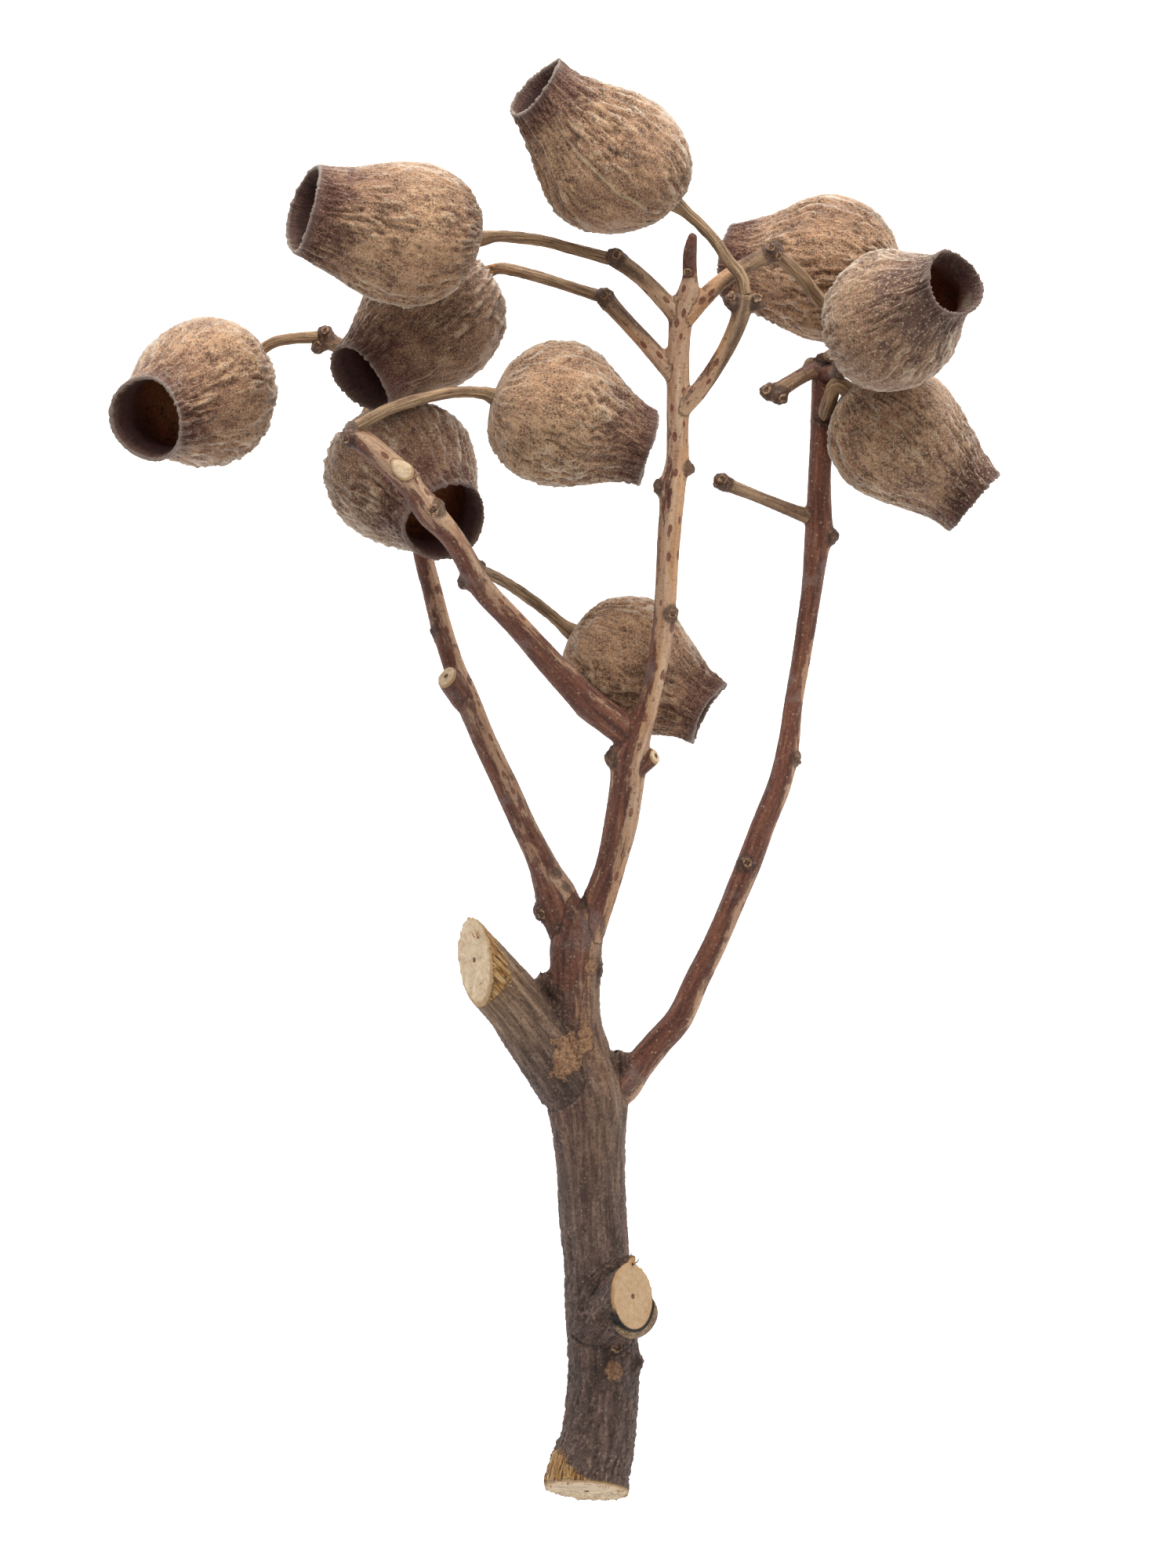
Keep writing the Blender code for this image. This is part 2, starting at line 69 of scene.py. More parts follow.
LIMB_STEP = 1.4
LIMB_SIDES = 30
SAW_FADE = 16.0
WOOD_VOXEL = 0.465
WOOD_SMOOTHING = 4
# What that smoothing takes off a limb's radius, given back beforehand.
SMOOTHING_LOSS = 0.22
# Painted light: each limb is paler on its right side, where it keeps this much less red bark.
RIGHT_SIDE_PAINTED_LIGHT = 0.42
# The grain of a limb starts this much further on than that of the limb before it.
GRAIN_GAP = 400.0
# So many points are matched to their limb at a time.
POINTS_AT_ONCE = 4000
# How far crusty bark reaches round a knob, and where a cut end's bare face starts and is whole.
KNOTTY_REACH = 1.3
SAWN_DEPTH = 1.0
SAWN_EDGE = 0.6
# The cut foot's fibres start at this Y and are longest at the other.
FOOT_TORN_FROM, FOOT_TORN_TO = -135.6, -137.0
# Nothing is lower than this over the table.
TABLE_GAP = 0.02

# A pod's grain runs as on a round post this thick, so far up its outside, down its wall and over its floor.
POD_GRAIN_RADIUS = 10.0
POD_GRAIN_OUTSIDE, POD_GRAIN_WALL, POD_GRAIN_FLOOR = 44.0, 22.0, 8.0
POD_GRAIN_SHIFT = 131.0
SEAM_HEIGHT = 0.28

# In metres: each lamp's place, the spot it lights and its width, and last its power.
LAMPS = {
    "window": ((0.1, 1.05, 0.46), (0.0, 0.05, 0.03), 1.0, 15.0),
    "fill": ((0.5, -0.7, 1.1), (0.0, 0.0, 0.03), 1.0, 3.5),
}
ROOM_LIGHT = 0.47
CAMERA_PLACE = (0.00636, -0.00057, 5.03)
CAMERA_LENS = 600.0
SENSOR_WIDTH = 36.0
TABLE_HALF_WIDTH = 3.0
TABLE_GLOW = 0.9

# Each pod: centre of its mouth, its stalk end, mouth radius, widest radius, how far the lip turns out,
# a turn of its oval outline in degrees, and its stalk's way to the wood. Some have more: how far the middle bows
# sideways, the way the mouth faces where the axis doesn't say it, the stalk's radius, where a raised seam runs (as an
# angle from the top), how much painted shade darkens a pod lying in the shadow of others, and how much crust and how
# many pale dots it has (lichen).
PODS = {
    "pod_top": dict(
        seam=-0.3, mouth=(-3.4, 131.5, 58.0), base=(23.0, 109.5, 49.0), mouth_radius=7.1, belly=14.1, lip=0.1, turn=20,
        bow=(-1.1, -1.3, 0.0),
        stalk=((25.2, 107.7, 48.6), (29.9, 103.2, 49.2), (33.2, 98.5, 50.2), (35.6, 95.4, 50.7), (36.1, 93.2, 50.8)),
    ),
    "pod_upper_left": dict(
        mouth=(-47.7, 108.4, 54.0), base=(-14.4, 102.8, 44.5), mouth_radius=8.8, belly=13.9, lip=0.0, turn=75,
        bow=(0.0, -1.2, 0.0), faces=(-0.94, 0.27, 0.26),
        stalk=((-11.8, 103.2, 43.9), (-8.4, 103.2, 43.2), (-1.9, 102.4, 43.0), (4.0, 100.8, 43.2), (9.4, 99.3, 43.6)),
    ),
    "pod_inner_left": dict(
        painted_shade=0.6, mouth=(-37.0, 75.9, 37.5), base=(-13.9, 96.1, 20.0), mouth_radius=7.6, belly=13.3, lip=0.2, turn=140,
        stalk=((-12.4, 97.2, 19.1), (-9.6, 97.6, 20.0), (-4.0, 96.2, 24.5), (1.6, 94.4, 30.0), (7.5, 92.4, 35.0)),
    ),
    "pod_far_left": dict(
        mouth=(-77.8, 68.4, 42.0), base=(-60.1, 77.6, 14.1), mouth_radius=8.3, belly=14.0, lip=0.3, turn=200,
        stalk=((-58.9, 78.5, 11.6), (-57.3, 81.2, 8.8), (-54.6, 83.4, 8.3), (-51.0, 84.3, 8.6), (-46.6, 84.6, 8.9)),
    ),
    "pod_lower_left": dict(
        painted_shade=0.7, mouth=(-20.9, 49.0, 42.0), base=(-35.1, 64.6, 14.4), mouth_radius=8.4, belly=14.3, lip=0.5, turn=250,
        stalk=((-35.9, 65.8, 12.2), (-36.6, 68.0, 9.4), (-35.8, 70.4, 7.0), (-34.5, 71.6, 5.7)),
    ),
    "pod_middle": dict(
        mouth=(17.8, 62.9, 51.0), base=(-11.7, 72.6, 54.5), mouth_radius=7.6, belly=14.1, lip=0.1, turn=310,
        bow=(0.2, 0.8, 0.0), faces=(0.96, -0.22, -0.06),
        stalk=((-14.2, 73.3, 55.2), (-19.6, 73.3, 57.6), (-25.6, 72.0, 60.0), (-31.4, 70.1, 61.4), (-36.4, 67.4, 61.8)),
    ),
    "pod_low": dict(
        mouth=(29.3, 12.7, 23.0), base=(3.3, 27.9, 21.0), mouth_radius=6.5, belly=12.9, lip=0.2, turn=10,
        stalk=((1.3, 29.4, 20.9), (-1.2, 31.6, 22.6), (-5.3, 34.7, 28.0), (-10.0, 37.7, 35.0), (-14.2, 39.6, 43.2)),
    ),
    "pod_back_right": dict(
        painted_shade=0.1, mouth=(33.6, 98.6, 8.7), base=(65.9, 97.1, 16.6), mouth_radius=7.9, belly=13.9, lip=0.1, turn=100,
        stalk_radius=1.3,
        stalk=(
            (68.2, 97.0, 17.0), (70.6, 94.6, 19.0), (69.8, 90.0, 21.8), (64.0, 86.8, 25.0),
            (57.0, 87.6, 28.2), (51.0, 91.0, 31.5), (47.4, 95.6, 35.0), (43.5, 99.0, 38.3),
        ),
    ),
    "pod_front_right": dict(
        mouth=(76.1, 94.2, 59.6), base=(56.6, 82.5, 33.2), mouth_radius=6.6, belly=13.3, lip=0.7, turn=160, lichen=1.0,
        stalk=((55.2, 81.7, 31.2), (53.9, 81.1, 28.0), (53.2, 80.9, 25.0), (52.8, 80.8, 23.4)),
    ),
    "pod_lower_right": dict(
        mouth=(79.9, 53.2, 23.5), base=(56.0, 74.3, 28.5), mouth_radius=7.5, belly=13.0, lip=0.1, turn=220, lichen=0.5,
        stalk_radius=1.5,
        stalk=((54.6, 75.3, 28.7), (53.4, 74.4, 27.8), (52.7, 72.3, 26.2), (52.1, 70.6, 24.2), (51.9, 70.1, 23.5)),
    ),
}

# The wood: each limb is a row of (x, y, z, radius) from its thick end. Its tones say how much old grey bark, red young
# bark and pale peeled bark it shows at its thick end and at its thin end. The way that a cut looks is faces for a cut
# at the thin end and foot for one at the thick end; torn gives a cut's torn depth and the side that is torn deeper,
# and lip the side where bark has grown round it.
OLD, RED, PALE, TWIG = (1.0, 0.0, 0.0), (0.0, 1.0, 0.0), (0.0, 0.25, 0.75), (0.0, 0.0, 0.0)
LIMBS = {
    "trunk": dict(
        line=(
            (6.1, -137.1, 7.6, 8.1), (6.6, -132.9, 7.6, 7.7), (8.2, -127.2, 7.8, 7.0), (9.1, -120.5, 8.5, 6.7),
            (9.4, -113.7, 9.5, 6.6), (9.1, -106.2, 10.6, 6.5), (8.5, -98.7, 11.8, 6.3), (7.9, -91.2, 13.0, 6.1),
            (7.3, -83.7, 14.2, 6.3), (7.0, -76.2, 15.4, 6.3), (6.6, -68.7, 16.6, 6.8), (6.1, -61.2, 17.8, 7.5),
            (4.6, -53.0, 19.3, 6.0), (3.9, -46.2, 20.6, 4.8), (3.9, -38.7, 21.9, 4.6), (4.2, -31.2, 23.2, 4.8),
            (4.9, -26.0, 24.4, 4.2),
        ),
        tones=(OLD, (0.25, 0.75, 0.0)), foot=(-0.08, -0.97, 0.22), torn=(0.4, (-1.7, 0.0, 0.2)),
    ),
    "central_shoot": dict(
        line=(
            (4.7, -33.0, 23.2, 3.6), (8.4, -23.7, 26.0, 2.9), (10.9, -16.2, 28.3, 2.7), (12.7, -8.7, 30.6, 3.0),
            (13.8, -1.2, 33.0, 3.1), (14.4, 4.8, 35.0, 3.3), (16.0, 9.3, 36.6, 2.6), (17.8, 13.8, 38.2, 1.9),
            (19.6, 21.3, 39.8, 1.8), (20.8, 28.8, 40.6, 1.9), (21.3, 36.3, 41.2, 1.9), (21.7, 43.8, 41.5, 2.0),
            (22.3, 51.3, 41.6, 2.1), (22.6, 55.8, 41.5, 2.3), (23.4, 60.3, 41.3, 2.0), (23.5, 66.3, 41.1, 1.9),
            (23.6, 73.8, 41.0, 2.0), (23.7, 81.3, 41.0, 1.9), (24.3, 88.8, 41.3, 2.1), (25.6, 93.0, 41.8, 1.8),
            (25.9, 96.3, 42.3, 1.1),
        ),
        tones=((0.2, 0.7, 0.1), (0.0, 0.0, 1.0)),
    ),
    "tip_bud": dict(
        line=((25.9, 94.9, 42.1, 1.3), (25.8, 97.8, 42.6, 1.2), (25.9, 100.6, 43.0, 1.15), (26.5, 103.9, 43.5, 0.6)),
        tones=(RED, RED),
    ),
    "front_branch": dict(
        line=(
            (13.9, 8.5, 36.0, 2.8), (10.1, 11.5, 38.0, 2.9), (6.7, 14.1, 39.6, 2.8), (-0.5, 21.6, 42.6, 2.4),
            (-7.1, 29.0, 45.0, 2.1), (-13.9, 36.3, 47.6, 2.1), (-17.6, 42.9, 50.2, 2.0), (-20.3, 46.8, 52.0, 2.1),
            (-23.8, 50.5, 54.2, 2.5), (-26.6, 54.6, 56.2, 2.1), (-29.3, 57.9, 57.8, 2.2), (-35.9, 63.7, 60.1, 2.0),
            (-38.3, 65.2, 60.5, 2.0),
        ),
        tones=((0.0, 1.0, 0.0), (0.0, 0.4, 0.4)),
    ),
    "left_shoot": dict(
        line=(
            (3.6, -31.0, 23.0, 3.9), (0.7, -23.7, 23.6, 3.9), (-1.1, -19.5, 24.0, 3.1), (-2.6, -15.9, 24.0, 2.5),
            (-6.1, -8.7, 23.6, 2.2), (-9.5, -1.2, 22.8, 2.2), (-13.1, 6.3, 21.4, 2.1), (-16.1, 13.4, 19.8, 2.2),
            (-17.6, 16.8, 19.0, 2.3), (-19.3, 21.3, 17.8, 1.9), (-21.7, 28.8, 15.7, 1.8), (-23.6, 36.3, 13.3, 1.7),
            (-25.0, 41.6, 11.4, 1.7), (-26.9, 52.0, 7.8, 1.7), (-28.8, 60.3, 5.2, 1.7), (-30.6, 67.8, 3.3, 1.8),
            (-32.1, 73.8, 2.3, 2.5), (-33.6, 78.3, 3.2, 1.7),
        ),
        tones=((0.3, 0.6, 0.1), (0.0, 0.5, 0.5)),
    ),
    "right_shoot": dict(
        line=(
            (8.7, -62.0, 17.2, 3.6), (13.2, -59.0, 18.2, 3.2), (15.7, -55.8, 19.0, 2.7), (19.9, -50.7, 20.0, 2.5),
            (23.9, -46.0, 20.8, 2.4), (27.3, -38.7, 21.6, 2.2), (31.0, -31.2, 22.3, 2.1), (34.2, -23.7, 22.8, 2.1),
            (37.3, -16.2, 23.0, 2.2), (40.1, -8.7, 23.0, 2.1), (43.1, -1.2, 22.8, 2.1), (44.8, 6.3, 22.4, 1.9),
            (45.7, 13.8, 22.0, 1.6), (47.0, 21.3, 21.4, 1.6), (48.2, 28.8, 21.0, 1.7), (49.3, 36.3, 20.6, 1.8),
            (50.2, 43.8, 20.2, 2.25), (50.7, 46.8, 20.1, 2.55), (50.7, 52.1, 20.0, 2.2), (50.8, 58.8, 20.0, 2.0),
            (51.3, 66.3, 20.0, 2.1), (51.4, 73.8, 20.1, 2.0), (51.7, 79.8, 20.4, 2.0),
        ),
        tones=((0.0, 0.72, 0.2), (0.0, 0.95, 0.0)),
    ),
    "twig_upper_left": dict(
        line=((24.3, 87.0, 41.4, 1.6), (20.5, 91.5, 42.2, 1.5), (16.0, 95.9, 43.2, 1.4), (11.9, 98.9, 43.7, 1.5)),
        tones=(PALE, TWIG),
    ),
    "twig_inner_left": dict(
        line=((23.2, 76.4, 41.0, 1.7), (18.4, 82.0, 40.2, 1.5), (14.0, 86.8, 38.8, 1.4), (9.7, 91.5, 36.8, 1.5)),
        tones=(PALE, TWIG),
    ),
    "twig_top": dict(
        line=(
            (23.6, 69.6, 41.2, 1.6), (27.5, 73.8, 43.0, 1.5), (31.5, 79.6, 45.6, 1.4),
            (34.2, 84.8, 48.2, 1.5), (35.9, 89.6, 50.0, 1.6), (36.2, 92.3, 50.6, 1.5),
        ),
        tones=(PALE, TWIG),
    ),
    "twig_back_right": dict(
        line=((25.2, 87.8, 41.5, 1.6), (29.0, 92.1, 41.0, 1.5), (33.5, 96.0, 40.4, 1.3), (41.6, 100.4, 39.7, 1.5)),
        tones=(PALE, TWIG),
    ),
    "twig_far_left": dict(
        line=((-33.4, 77.6, 3.2, 1.7), (-37.8, 81.0, 5.0, 1.4), (-41.6, 83.1, 7.4, 1.4), (-44.5, 84.2, 8.8, 1.5)),
        tones=(RED, TWIG),
    ),
    "twig_bare_low": dict(
        line=((50.4, 49.6, 20.1, 1.5), (46.6, 50.8, 21.2, 1.2), (39.5, 53.6, 23.4, 1.0), (32.4, 56.4, 25.2, 1.2)),
        tones=(TWIG, TWIG),
    ),
    "twig_bare_high": dict(
        line=((51.4, 79.0, 20.4, 1.6), (47.4, 77.0, 23.6, 1.3), (42.6, 74.0, 27.0, 1.4)), tones=(RED, TWIG),
    ),
    "twig_bare_short": dict(line=((51.5, 77.6, 20.4, 1.5), (48.0, 79.6, 21.2, 1.2)), tones=(RED, TWIG)),
    "twig_bare_right": dict(
        line=((51.4, 77.2, 20.4, 1.4), (53.2, 77.8, 24.8, 1.2), (54.8, 77.9, 29.4, 1.3)), tones=(RED, TWIG),
    ),
    "stub_large": dict(
        line=((3.8, -58.4, 18.4, 7.3), (-2.2, -50.4, 20.2, 6.5), (-8.4, -42.6, 22.0, 5.7), (-15.4, -34.9, 24.0, 5.6)),
        faces=(-0.84, 0.0, 0.54), tones=((0.7, 0.1, 0.0), (0.15, 0.0, 0.0)), torn=(0.4, (0.5, 0.5, 0.75)),
    ),
    "stub_low": dict(
        line=((9.2, -105.2, 11.6, 6.4), (12.0, -102.3, 15.8, 5.9), (15.0, -99.4, 20.0, 5.6)),
        faces=(0.75, 0.0, 0.66), tones=(OLD, OLD), torn=(0.1, (0.0, 0.0, 0.0)), lip=(0.4, -0.9, 0.0),
    ),
    "low_collar": dict(
        line=(
            (11.4, -104.8, 21.4, 0.5), (13.0, -106.0, 20.4, 0.8), (15.0, -106.6, 18.6, 0.9), (16.8, -106.0, 16.8, 0.9),
            (18.3, -104.4, 15.2, 0.9), (18.9, -102.4, 14.6, 0.85), (18.5, -100.4, 15.0, 0.6),
        ),
        tones=(OLD, OLD),
    ),
    "low_crease": dict(
        line=(
            (5.4, -104.4, 14.6, 0.6), (5.6, -102.2, 15.6, 1.0), (6.4, -98.7, 16.8, 1.3), (8.7, -95.2, 17.6, 1.4),
            (11.7, -93.2, 17.6, 1.2), (14.2, -92.6, 18.8, 0.8), (15.4, -91.8, 20.0, 0.4),
        ),
        tones=(OLD, OLD),
    ),
    "stub_front": dict(
        line=((-27.4, 56.6, 55.8, 2.0), (-28.7, 58.5, 59.5, 1.6)), faces=(-0.1, 0.1, 0.99), tones=(RED, RED),
    ),
    "stub_left": dict(
        line=((-17.3, 14.9, 19.3, 2.3), (-20.8, 19.5, 22.0, 2.0)), faces=(-0.6, 0.5, 0.6), tones=(RED, RED),
    ),
    "stub_right": dict(
        line=((15.4, 1.6, 34.4, 1.9), (19.4, 4.2, 36.0, 1.2)), faces=(0.8, 0.3, 0.5), tones=(RED, RED),
    ),
}
# Knuckles, scars and buds: centre and radius.
KNOBS = (
    (11.5, 99.4, 44.2, 1.75), (9.5, 91.9, 37.2, 1.7), (33.8, 90.7, 50.4, 1.45), (38.6, 90.4, 50.4, 1.4),
    (41.9, 100.6, 40.2, 1.8), (-44.2, 85.4, 8.8, 1.5), (-45.4, 82.9, 8.6, 1.4), (32.0, 56.7, 25.6, 1.7),
    (43.1, 73.0, 27.8, 1.5), (41.0, 73.9, 27.2, 1.6), (54.9, 77.9, 30.2, 1.4), (-38.8, 64.6, 60.6, 1.7),
    (-14.7, 40.1, 45.6, 1.6), (-33.0, 71.9, 4.2, 1.7), (51.7, 79.8, 21.2, 1.7), (51.5, 68.6, 20.6, 1.6),
    (20.2, 55.4, 41.4, 1.4), (25.4, 59.0, 41.6, 1.3), (22.4, 31.3, 42.2, 1.3), (36.6, -16.4, 24.8, 1.3),
    (45.9, 3.6, 22.8, 1.4), (53.0, 46.2, 20.6, 1.4), (-17.2, 37.4, 47.4, 1.4), (-22.6, 51.4, 54.9, 1.7),
    (-22.6, 28.0, 16.0, 1.2), (-1.8, -25.3, 23.6, 2.2), (7.1, -37.0, 22.4, 2.2), (-1.4, -39.4, 22.0, 2.2),
    (12.4, -109.4, 14.8, 2.0), (15.4, -112.4, 11.4, 1.6), (12.4, -54.6, 19.6, 2.2), (11.4, 3.8, 35.0, 1.8),
)
# Dark crusty places in the bark: centre and radius.
CRUSTS = (
    (0.2, -41.6, 24.6, 1.5), (1.4, -44.8, 25.0, 1.5), (2.6, -48.2, 25.2, 1.2), (6.0, -101.0, 17.4, 0.9),
    (7.2, -96.8, 18.6, 0.9), (10.4, -94.4, 18.8, 0.8), (3.6, -28.6, 27.0, 0.7), (12.6, -92.8, 19.6, 0.9),
    (14.6, -91.8, 20.2, 0.8), (5.4, -104.0, 16.0, 0.7), (0.4, -18.3, 26.6, 0.6), (2.6, -20.6, 27.2, 0.7),
    (5.0, -22.6, 27.4, 0.8), (1.0, -28.8, 27.2, 0.6), (3.2, -26.4, 27.8, 0.6), (5.4, -24.2, 28.0, 0.5),
)
# Round scars of fallen stalks: centre, the way they look, and radius.
SCARS = (
    ((33.7, 91.7, 51.9), (-0.2, 0.1, 1.0), 0.85), ((38.7, 91.4, 51.8), (0.3, 0.1, 1.0), 0.85),
    ((41.3, 101.2, 42.0), (-0.2, 0.5, 1.0), 0.75), ((42.9, 99.6, 41.8), (0.5, -0.2, 1.0), 0.75),
    ((-39.7, 64.4, 62.0), (-0.5, -0.1, 0.8), 0.8), ((-23.2, 50.9, 57.0), (0.1, 0.0, 1.0), 1.2),
    ((43.6, 72.6, 29.3), (0.5, -0.4, 0.8), 0.8), ((40.6, 74.2, 28.8), (-0.5, 0.2, 0.8), 0.9),
    ((32.2, 57.2, 27.2), (0.2, 0.3, 0.9), 0.8), ((31.0, 56.6, 26.8), (-0.7, 0.0, 0.7), 0.7),
    ((11.8, 99.8, 45.9), (0.1, 0.2, 1.0), 0.8), ((9.4, 92.2, 38.8), (-0.1, 0.3, 1.0), 0.75),
    ((12.0, -109.2, 16.8), (0.3, 0.0, 1.0), 1.1), ((25.4, 96.4, 44.0), (-0.1, -0.1, 1.0), 0.8),
    ((22.5, 31.3, 43.5), (0.2, 0.0, 1.0), 0.8), ((36.9, -16.3, 26.1), (0.1, 0.0, 1.0), 0.8),
    ((-45.6, 83.2, 10.0), (-0.3, -0.3, 0.9), 0.7), ((-44.2, 85.9, 10.2), (-0.1, 0.5, 0.8), 0.7),
    ((-2.4, -26.2, 25.6), (-0.5, -0.3, 0.8), 0.9), ((55.0, 78.0, 31.7), (0.1, 0.0, 1.0), 0.8),
    ((1.9, 68.5, 66.4), (0.1, 0.1, 1.0), 0.6),
)
# Torn sides: centre, the way they look, radius, from and to which angle, how many fibres, the longest, and how dark.
TEARS = (
    ((6.1, -137.0, 7.6), (-0.08, -0.97, 0.22), 7.6, -20.0, 200.0, 120, 1.0, 0.1),
    ((6.4, -134.6, 7.6), (-0.7, -0.7, 0.2), 7.4, -30.0, 70.0, 130, 2.2, 0.25),
    ((-15.2, -34.7, 24.0), (-0.84, 0.0, 0.54), 5.4, 100.0, 250.0, 60, 0.9, 0.1),
    ((-15.2, -29.8, 25.4), (-0.3, 0.9, 0.3), 0.6, 0.0, 360.0, 9, 2.2, 0.4),
    ((14.8, -92.6, 19.6), (0.3, 0.8, 0.5), 1.0, 0.0, 360.0, 12, 1.8, 0.9),
    ((12.4, -53.6, 21.2), (0.1, 0.5, 0.8), 1.6, 0.0, 360.0, 24, 1.4, 1.0),
    ((-2.2, -38.6, 23.6), (-0.4, 0.5, 0.7), 1.6, 0.0, 360.0, 18, 0.9, 1.0),
    ((-12.4, 97.8, 21.0), (-0.4, 0.7, 0.6), 0.8, 0.0, 360.0, 14, 1.2, 0.0),
)
# Spots where bark has come away: centre, radius and how much longer than wide.
BARE_PATCHES = (
    ((2.3, -53.5, 25.0), 3.6, 1.2), ((6.0, -50.0, 24.6), 1.5, 2.4), ((7.2, -36.0, 26.4), 1.7, 1.0),
    ((11.4, -113.6, 15.4), 1.7, 1.3),
)


def paint(red, green, blue):
    """A colour from its screen values of 0 to 255, as a shader reads it."""
    return (*(((c / 255 + 0.055) / 1.055) ** 2.4 if c > 10 else c / 255 / 12.92 for c in (red, green, blue)), 1.0)


class Wire:
    """One value in a node tree. Arithmetic on it adds nodes, so that a rule reads as a plain formula."""

    def __init__(self, tree, socket):
        self.tree = tree
        self.socket = socket

    def math(self, operation, *others):
        """Any rule of the Math node, with this as its first number."""
        made = node(self.tree, "ShaderNodeMath", dict(enumerate((self, *others))), operation=operation)
        return Wire(self.tree, made.outputs[0])

    def vector(self, operation, *others, scale=None):
        """Any rule of the Vector Math node, with this as its first vector."""
        inputs = dict(enumerate((self, *others)))
        if scale is not None:
            inputs["Scale"] = scale
        made = node(self.tree, "ShaderNodeVectorMath", inputs, operation=operation)
        return Wire(self.tree, made.outputs["Value" if operation in ("DOT_PRODUCT", "LENGTH") else "Vector"])

    def __add__(self, other):
        return self.math("ADD", other)

    def __sub__(self, other):
        return self.math("SUBTRACT", other)

    def __mul__(self, other):
        return self.math("MULTIPLY", other)

    def __truediv__(self, other):
        return self.math("DIVIDE", other)

    def __pow__(self, other):
        return self.math("POWER", other)

    def __rsub__(self, other):
        return self.math("MULTIPLY", -1.0).math("ADD", other)

    def __rtruediv__(self, other):
        return self.math("POWER", -1.0).math("MULTIPLY", other)

    __radd__ = __add__
    __rmul__ = __mul__

    def at_least(self, low):
        return self.math("MAXIMUM", low)

    def at_most(self, high):
        return self.math("MINIMUM", high)

    def rise(self, low, high, smooth=True):
        """0 where this is at low, 1 where it is at high, and in between it runs smoothly or straight."""
        made = node(
            self.tree, "ShaderNodeMapRange", {"Value": self, 1: low, 2: high},
            interpolation_type="SMOOTHSTEP" if smooth else "LINEAR",
        )
        return Wire(self.tree, made.outputs[0])

    def parts(self):
        """The three numbers of this vector."""
        made = node(self.tree, "ShaderNodeSeparateXYZ", {0: self})
        return [Wire(self.tree, socket) for socket in made.outputs]

    def stretched(self, x, y, z):
        """This place with each way scaled, so that a pattern on it is drawn out where the number is small."""
        return self.vector("MULTIPLY", (x, y, z))

    def noise(self, scale, detail=2.0, roughness=0.5, distortion=0.0):
        """Soft random clouds from 0 to 1, as a number. scale counts clouds in a millimetre."""
        inputs = {"Vector": self, "Scale": scale, "Detail": detail, "Roughness": roughness, "Distortion": distortion}
        return Wire(self.tree, node(self.tree, "ShaderNodeTexNoise", inputs).outputs[0])

    def cells(self, scale, output="Distance"):
        """Random cells: the distance to the nearest cell's middle, or that cell's own random colour."""
        made = node(self.tree, "ShaderNodeTexVoronoi", {"Vector": self, "Scale": scale})
        return Wire(self.tree, made.outputs[output])

    def ramp(self, *stops):
        """A colour that changes with this value. Each stop is a place from 0 to 1 and a colour."""
        made = node(self.tree, "ShaderNodeValToRGB", {0: self})
        while len(made.color_ramp.elements) < len(stops):
            made.color_ramp.elements.new(1.0)
        for element, (place, colour) in zip(made.color_ramp.elements, stops):
            element.position = place
            element.color = colour
        return Wire(self.tree, made.outputs[0])

    def mixed(self, other, share):
        """This colour with a share of another laid over it."""
        made = node(self.tree, "ShaderNodeMix", {0: share, 6: self, 7: other}, data_type="RGBA")
        return Wire(self.tree, made.outputs[2])


def node(tree, kind, inputs=None, **settings):
    """Adds a node. inputs gives its sockets, by name or number, a plain value or a wire."""
    made = tree.nodes.new(kind)
    for name, value in settings.items():
        setattr(made, name, value)
    for name, value in (inputs or {}).items():
        if isinstance(value, Wire):
            tree.links.new(value.socket, made.inputs[name])
        elif value is not None:
            made.inputs[name].default_value = value
    return made


def wire(tree, kind, inputs=None, output=0, **settings):
    """Adds a node and hands back one of its outputs."""
    return Wire(tree, node(tree, kind, inputs, **settings).outputs[output])


def combine(tree, x, y, z):
    """A vector made of three numbers."""
    return wire(tree, "ShaderNodeCombineXYZ", {0: x, 1: y, 2: z})


def used(tree, group, inputs):
    """Puts a shader node group in a tree and hands back its outputs, in their order."""
    made = node(tree, "ShaderNodeGroup", inputs, node_tree=group)
    return [Wire(tree, socket) for socket in made.outputs]


SOCKET_KINDS = {
    float: "NodeSocketFloat", int: "NodeSocketInt", tuple: "NodeSocketVector", type(None): "NodeSocketMaterial",
}


def new_group(name, kind, inputs, outputs):
    """An empty node group with named inputs, which have these first values, and named outputs."""
    tree = bpy.data.node_groups.new(name, kind)
    for label, value in inputs.items():
        socket = tree.interface.new_socket(label, in_out="INPUT", socket_type=SOCKET_KINDS[type(value)])
        if value is not None:
            socket.default_value = value
    for label, form in outputs.items():
        tree.interface.new_socket(label, in_out="OUTPUT", socket_type=form)
    given = tree.nodes.new("NodeGroupInput")
    result = tree.nodes.new("NodeGroupOutput")
    return tree, {socket.name: Wire(tree, socket) for socket in given.outputs if socket.name}, result.inputs


def growth_tree(name, inputs):
    """A Geometry Nodes tree that changes the geometry it is given."""
    tree, _, result = new_group(name, "GeometryNodeTree", inputs, {"Geometry": "NodeSocketGeometry"})
    start = tree.interface.new_socket("Start", in_out="INPUT", socket_type="NodeSocketGeometry")
    tree.interface.move(start, 0)
    entry = next(n for n in tree.nodes if n.type == "GROUP_INPUT")
    given = {socket.name: Wire(tree, socket) for socket in entry.outputs if socket.name}
    return tree, given, result


def stored(tree, geometry, name, value, kind="FLOAT"):
    """Keeps a value on every point of a geometry under a name."""
    return wire(
        tree, "GeometryNodeStoreNamedAttribute", {"Geometry": geometry, "Name": name, "Value": value},
        data_type=kind, domain="POINT",
    )


def kept(tree, name, kind="FLOAT"):
    """Reads a value that was kept on the points under a name."""
    return wire(tree, "GeometryNodeInputNamedAttribute", {"Name": name}, data_type=kind)


